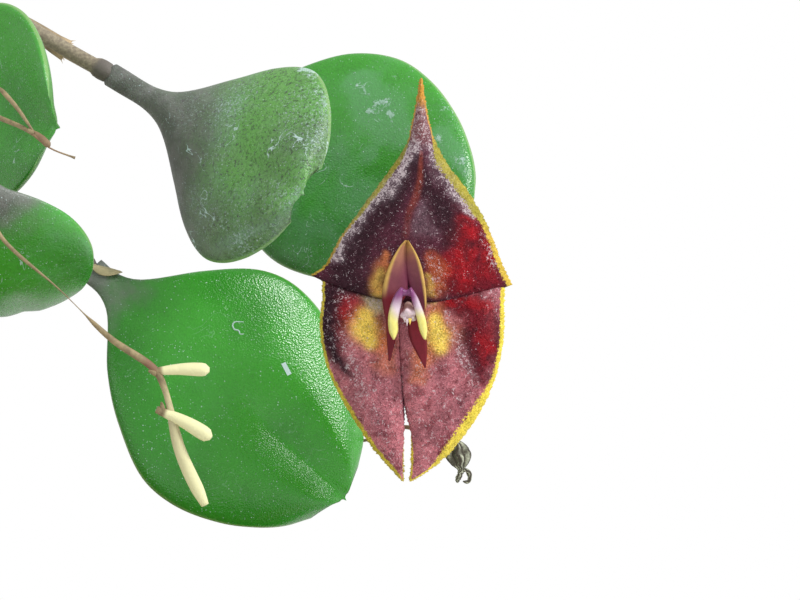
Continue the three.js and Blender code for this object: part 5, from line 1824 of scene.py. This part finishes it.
class LipOperator(bpy.types.Operator):
    """Sets the two-bladed lip over the toothed column"""

    bl_idname = "orchid.lip"
    bl_label = "Lip and column"
    COLUMNS = 40
    ROWS = 44

    def lobe(self, colours, left, right):
        def depth(q, t):
            return 2.75 + 0.35 * t * t + 0.12 * (1 - q * q)

        def marks(q, t, _):
            tint = painted(
                colours.lip_purple,
                (colours.lip_pale, 0.9 * smooth(t + 0.08 * q, 0.14, 0.46)),
                (colours.lip_tip, smooth(t - 0.06 * q, 0.36, 0.64)))
            return {"tint": tint}

        return Blade(left, right, depth, PETAL_THICKNESS).skin("lobe", self.COLUMNS, self.ROWS, marks)

    def lip(self, colours):
        bar = flower_route((-0.62, -0.42, 2.75), (0.14, -0.42, 2.75))
        radius = through((0, 0.12), (0.15, 0.22), (0.5, 0.16), (0.85, 0.22), (1, 0.12))
        pieces = [
            self.lobe(
                colours,
                ((-0.55, -0.1), (-0.88, -0.5), (-1.12, -1.1), (-1.25, -1.8), (-1.2, -2.5), (-0.98, -2.97)),
                ((-0.4, -0.2), (-0.48, -0.8), (-0.6, -1.4), (-0.7, -1.95), (-0.7, -2.5), (-0.88, -2.95))),
            self.lobe(
                colours,
                ((-0.12, -0.2), (0, -0.75), (0.18, -1.35), (0.33, -1.95), (0.46, -2.5), (0.68, -2.95)),
                ((0, -0.1), (0.3, -0.55), (0.54, -1.1), (0.74, -1.65), (0.88, -2.35), (0.82, -2.97))),
            rod("bridge", bar, even(radius, 10), 16,
                marks=lambda _, share: {"tint": np.tile(colours.lip_purple[:], (len(share), 1))}),
        ]
        return joined("lip_blades", pieces)

    def column(self, colours):
        route = flower_route((-0.16, -1.1, 0.7), (-0.16, -1.12, 1.6), (-0.12, -1.3, 2.3), (-0.12, -1.75, 2.9))
        radius = through((0, 0.2), (0.5, 0.22), (0.8, 0.32), (0.94, 0.42), (1, 0.34))
        rows = 40

        def flute(angle, ring):
            return 1 + 0.2 * np.cos(5 * angle) * smooth(ring / rows, 0.75, 1)

        def marks(_, share):
            return {"tint": painted(colours.column, (colours.lip_pale, 0.8 * smooth(share, 0.75, 1)))}

        stalk = rod("column_teeth", route, even(radius, rows), 40, flute, marks)
        across = np.array([-0.34, -0.2, -0.04, 0.12])
        feet = np.stack([across - 0.02, [-1.72, -1.84, -1.82, -1.7], [2.95, 3.05, 3.05, 2.95]], axis=1)
        down = np.tile([0.0, 0.15, -1.0], (4, 1))
        where = standing(in_flower(feet), down, np.full(4, 0.1), np.array([0.34, 0.42, 0.36, 0.3]))
        tint = np.array([colours.lip_pale[:], colours.lip_pale[:], colours.gold[:], colours.lip_pale[:]])
        return joined("column_teeth", [stalk, scattered("teeth", spike(8), where, {"tint": tint})])

    def execute(self, context):
        colours = context.scene.orchid_colours
        settle(self.lip(colours), waxy_surface("lip_flesh", 0.22, 0.4), "lip", "lip")
        settle(self.column(colours), waxy_surface("column_flesh", 0.28, 0.3), "column", "column")
        return {"FINISHED"}


class StageOperator(bpy.types.Operator):
    """Sets the pale floor, the white surroundings, the soft lights and the camera"""

    bl_idname = "orchid.stage"
    bl_label = "Stage"
    CAMERA_PLACE = (32, -324, 76)
    AIM = (28, -2, 74)
    LENS = 261.8
    SENSOR = 36
    FLOOR_RADIUS = 560
    FILL = 0.7
    # Each light: its name, place, width and power
    LIGHTS = (
        ("key", (292, -182, 378), 110, 1.75),
        ("right", (330, 60, 150), 200, 0.15),
        ("left", (-260, -220, 160), 240, 0.25),
    )

    def floor(self):
        floor = added(
            bpy.ops.mesh.primitive_circle_add, vertices=96, radius=self.FLOOR_RADIUS * MM, fill_type="NGON")
        floor.name = "floor"
        pale = Surface("pale_floor")
        shade = pale.noise(0.01, 2)
        colour = pale.mix(shade, (0.86, 0.86, 0.85), (0.9, 0.9, 0.89))
        floor.data.materials.append(pale.finish(colour, 0.6, pale.bump(pale.noise(0.8, 2), 0.02)))
        floor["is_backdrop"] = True

    def surroundings(self, scene):
        """White to the camera, softer as a light."""
        world = bpy.data.worlds.new("white_room")
        world.use_nodes = True
        tree = world.node_tree
        tree.nodes.clear()
        seen = tree.nodes.new("ShaderNodeBackground")
        seen.inputs["Color"].default_value = (1, 1, 1, 1)
        lighting = tree.nodes.new("ShaderNodeBackground")
        lighting.inputs["Color"].default_value = (1, 1, 1, 1)
        lighting.inputs["Strength"].default_value = self.FILL
        path = tree.nodes.new("ShaderNodeLightPath")
        choice = tree.nodes.new("ShaderNodeMixShader")
        output = tree.nodes.new("ShaderNodeOutputWorld")
        tree.links.new(path.outputs["Is Camera Ray"], choice.inputs[0])
        tree.links.new(lighting.outputs[0], choice.inputs[1])
        tree.links.new(seen.outputs[0], choice.inputs[2])
        tree.links.new(choice.outputs[0], output.inputs[0])
        scene.world = world

    def light(self, scene, name, place, size, power):
        lamp = bpy.data.lights.new(name, "AREA")
        lamp.shape = "DISK"
        lamp.size = size * MM
        lamp.energy = power
        holder = bpy.data.objects.new(name, lamp)
        holder.location = Vector(place) * MM
        aim = Vector(self.AIM) * MM - holder.location
        holder.rotation_euler = aim.to_track_quat("-Z", "Y").to_euler()
        scene.collection.objects.link(holder)

    def camera(self, scene):
        data = bpy.data.cameras.new("camera")
        data.sensor_width = self.SENSOR
        data.lens = self.LENS
        data.clip_start = 0.01
        holder = bpy.data.objects.new("camera", data)
        holder.location = Vector(self.CAMERA_PLACE) * MM
        holder.rotation_euler = (math.pi / 2, 0, 0)
        scene.collection.objects.link(holder)
        scene.camera = holder

    def execute(self, context):
        scene = context.scene
        self.floor()
        self.surroundings(scene)
        for light in self.LIGHTS:
            self.light(scene, *light)
        self.camera(scene)
        scene.view_settings.view_transform = "Standard"
        scene.view_settings.look = "None"
        return {"FINISHED"}


OPERATORS = (
    StageOperator, PotOperator, MossOperator, RhizomeOperator, StemsOperator, LeavesOperator, RacemesOperator,
    DriedFlowerOperator, SepalsOperator, PetalsOperator, LipOperator,
)


class OrchidPanel(bpy.types.Panel):
    """Sizes, colours and the pieces in the order that they are made"""

    bl_idname = "VIEW3D_PT_orchid"
    bl_label = "Potted orchid"
    bl_space_type = "VIEW_3D"
    bl_region_type = "UI"
    bl_category = "Orchid"

    def draw(self, context):
        layout = self.layout
        for group in (context.scene.orchid_sizes, context.scene.orchid_colours):
            for key in group.bl_rna.properties.keys():
                if key not in ("rna_type", "name"):
                    layout.prop(group, key)
        for operator in OPERATORS:
            layout.operator(operator.bl_idname)


CLASSES = (OrchidSizes, OrchidColours, *OPERATORS, OrchidPanel)


def register():
    for item in CLASSES:
        bpy.utils.register_class(item)
    bpy.types.Scene.orchid_sizes = bpy.props.PointerProperty(type=OrchidSizes)
    bpy.types.Scene.orchid_colours = bpy.props.PointerProperty(type=OrchidColours)


def unregister():
    del bpy.types.Scene.orchid_colours
    del bpy.types.Scene.orchid_sizes
    for item in reversed(CLASSES):
        bpy.utils.unregister_class(item)


def main():
    register()
    bpy.ops.orchid.stage()
    bpy.ops.orchid.pot()
    bpy.ops.orchid.moss()
    bpy.ops.orchid.rhizome()
    bpy.ops.orchid.stems()
    bpy.ops.orchid.leaves()
    bpy.ops.orchid.racemes()
    bpy.ops.orchid.dried_flower()
    bpy.ops.orchid.sepals()
    bpy.ops.orchid.petals()
    bpy.ops.orchid.lip()
    boxes = {"cad": SOLIDS_BOX, "visual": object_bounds()}
    plain = {key: [[float(value) for value in corner] for corner in box] for key, box in boxes.items()}


if __name__ == "__main__":
    main()
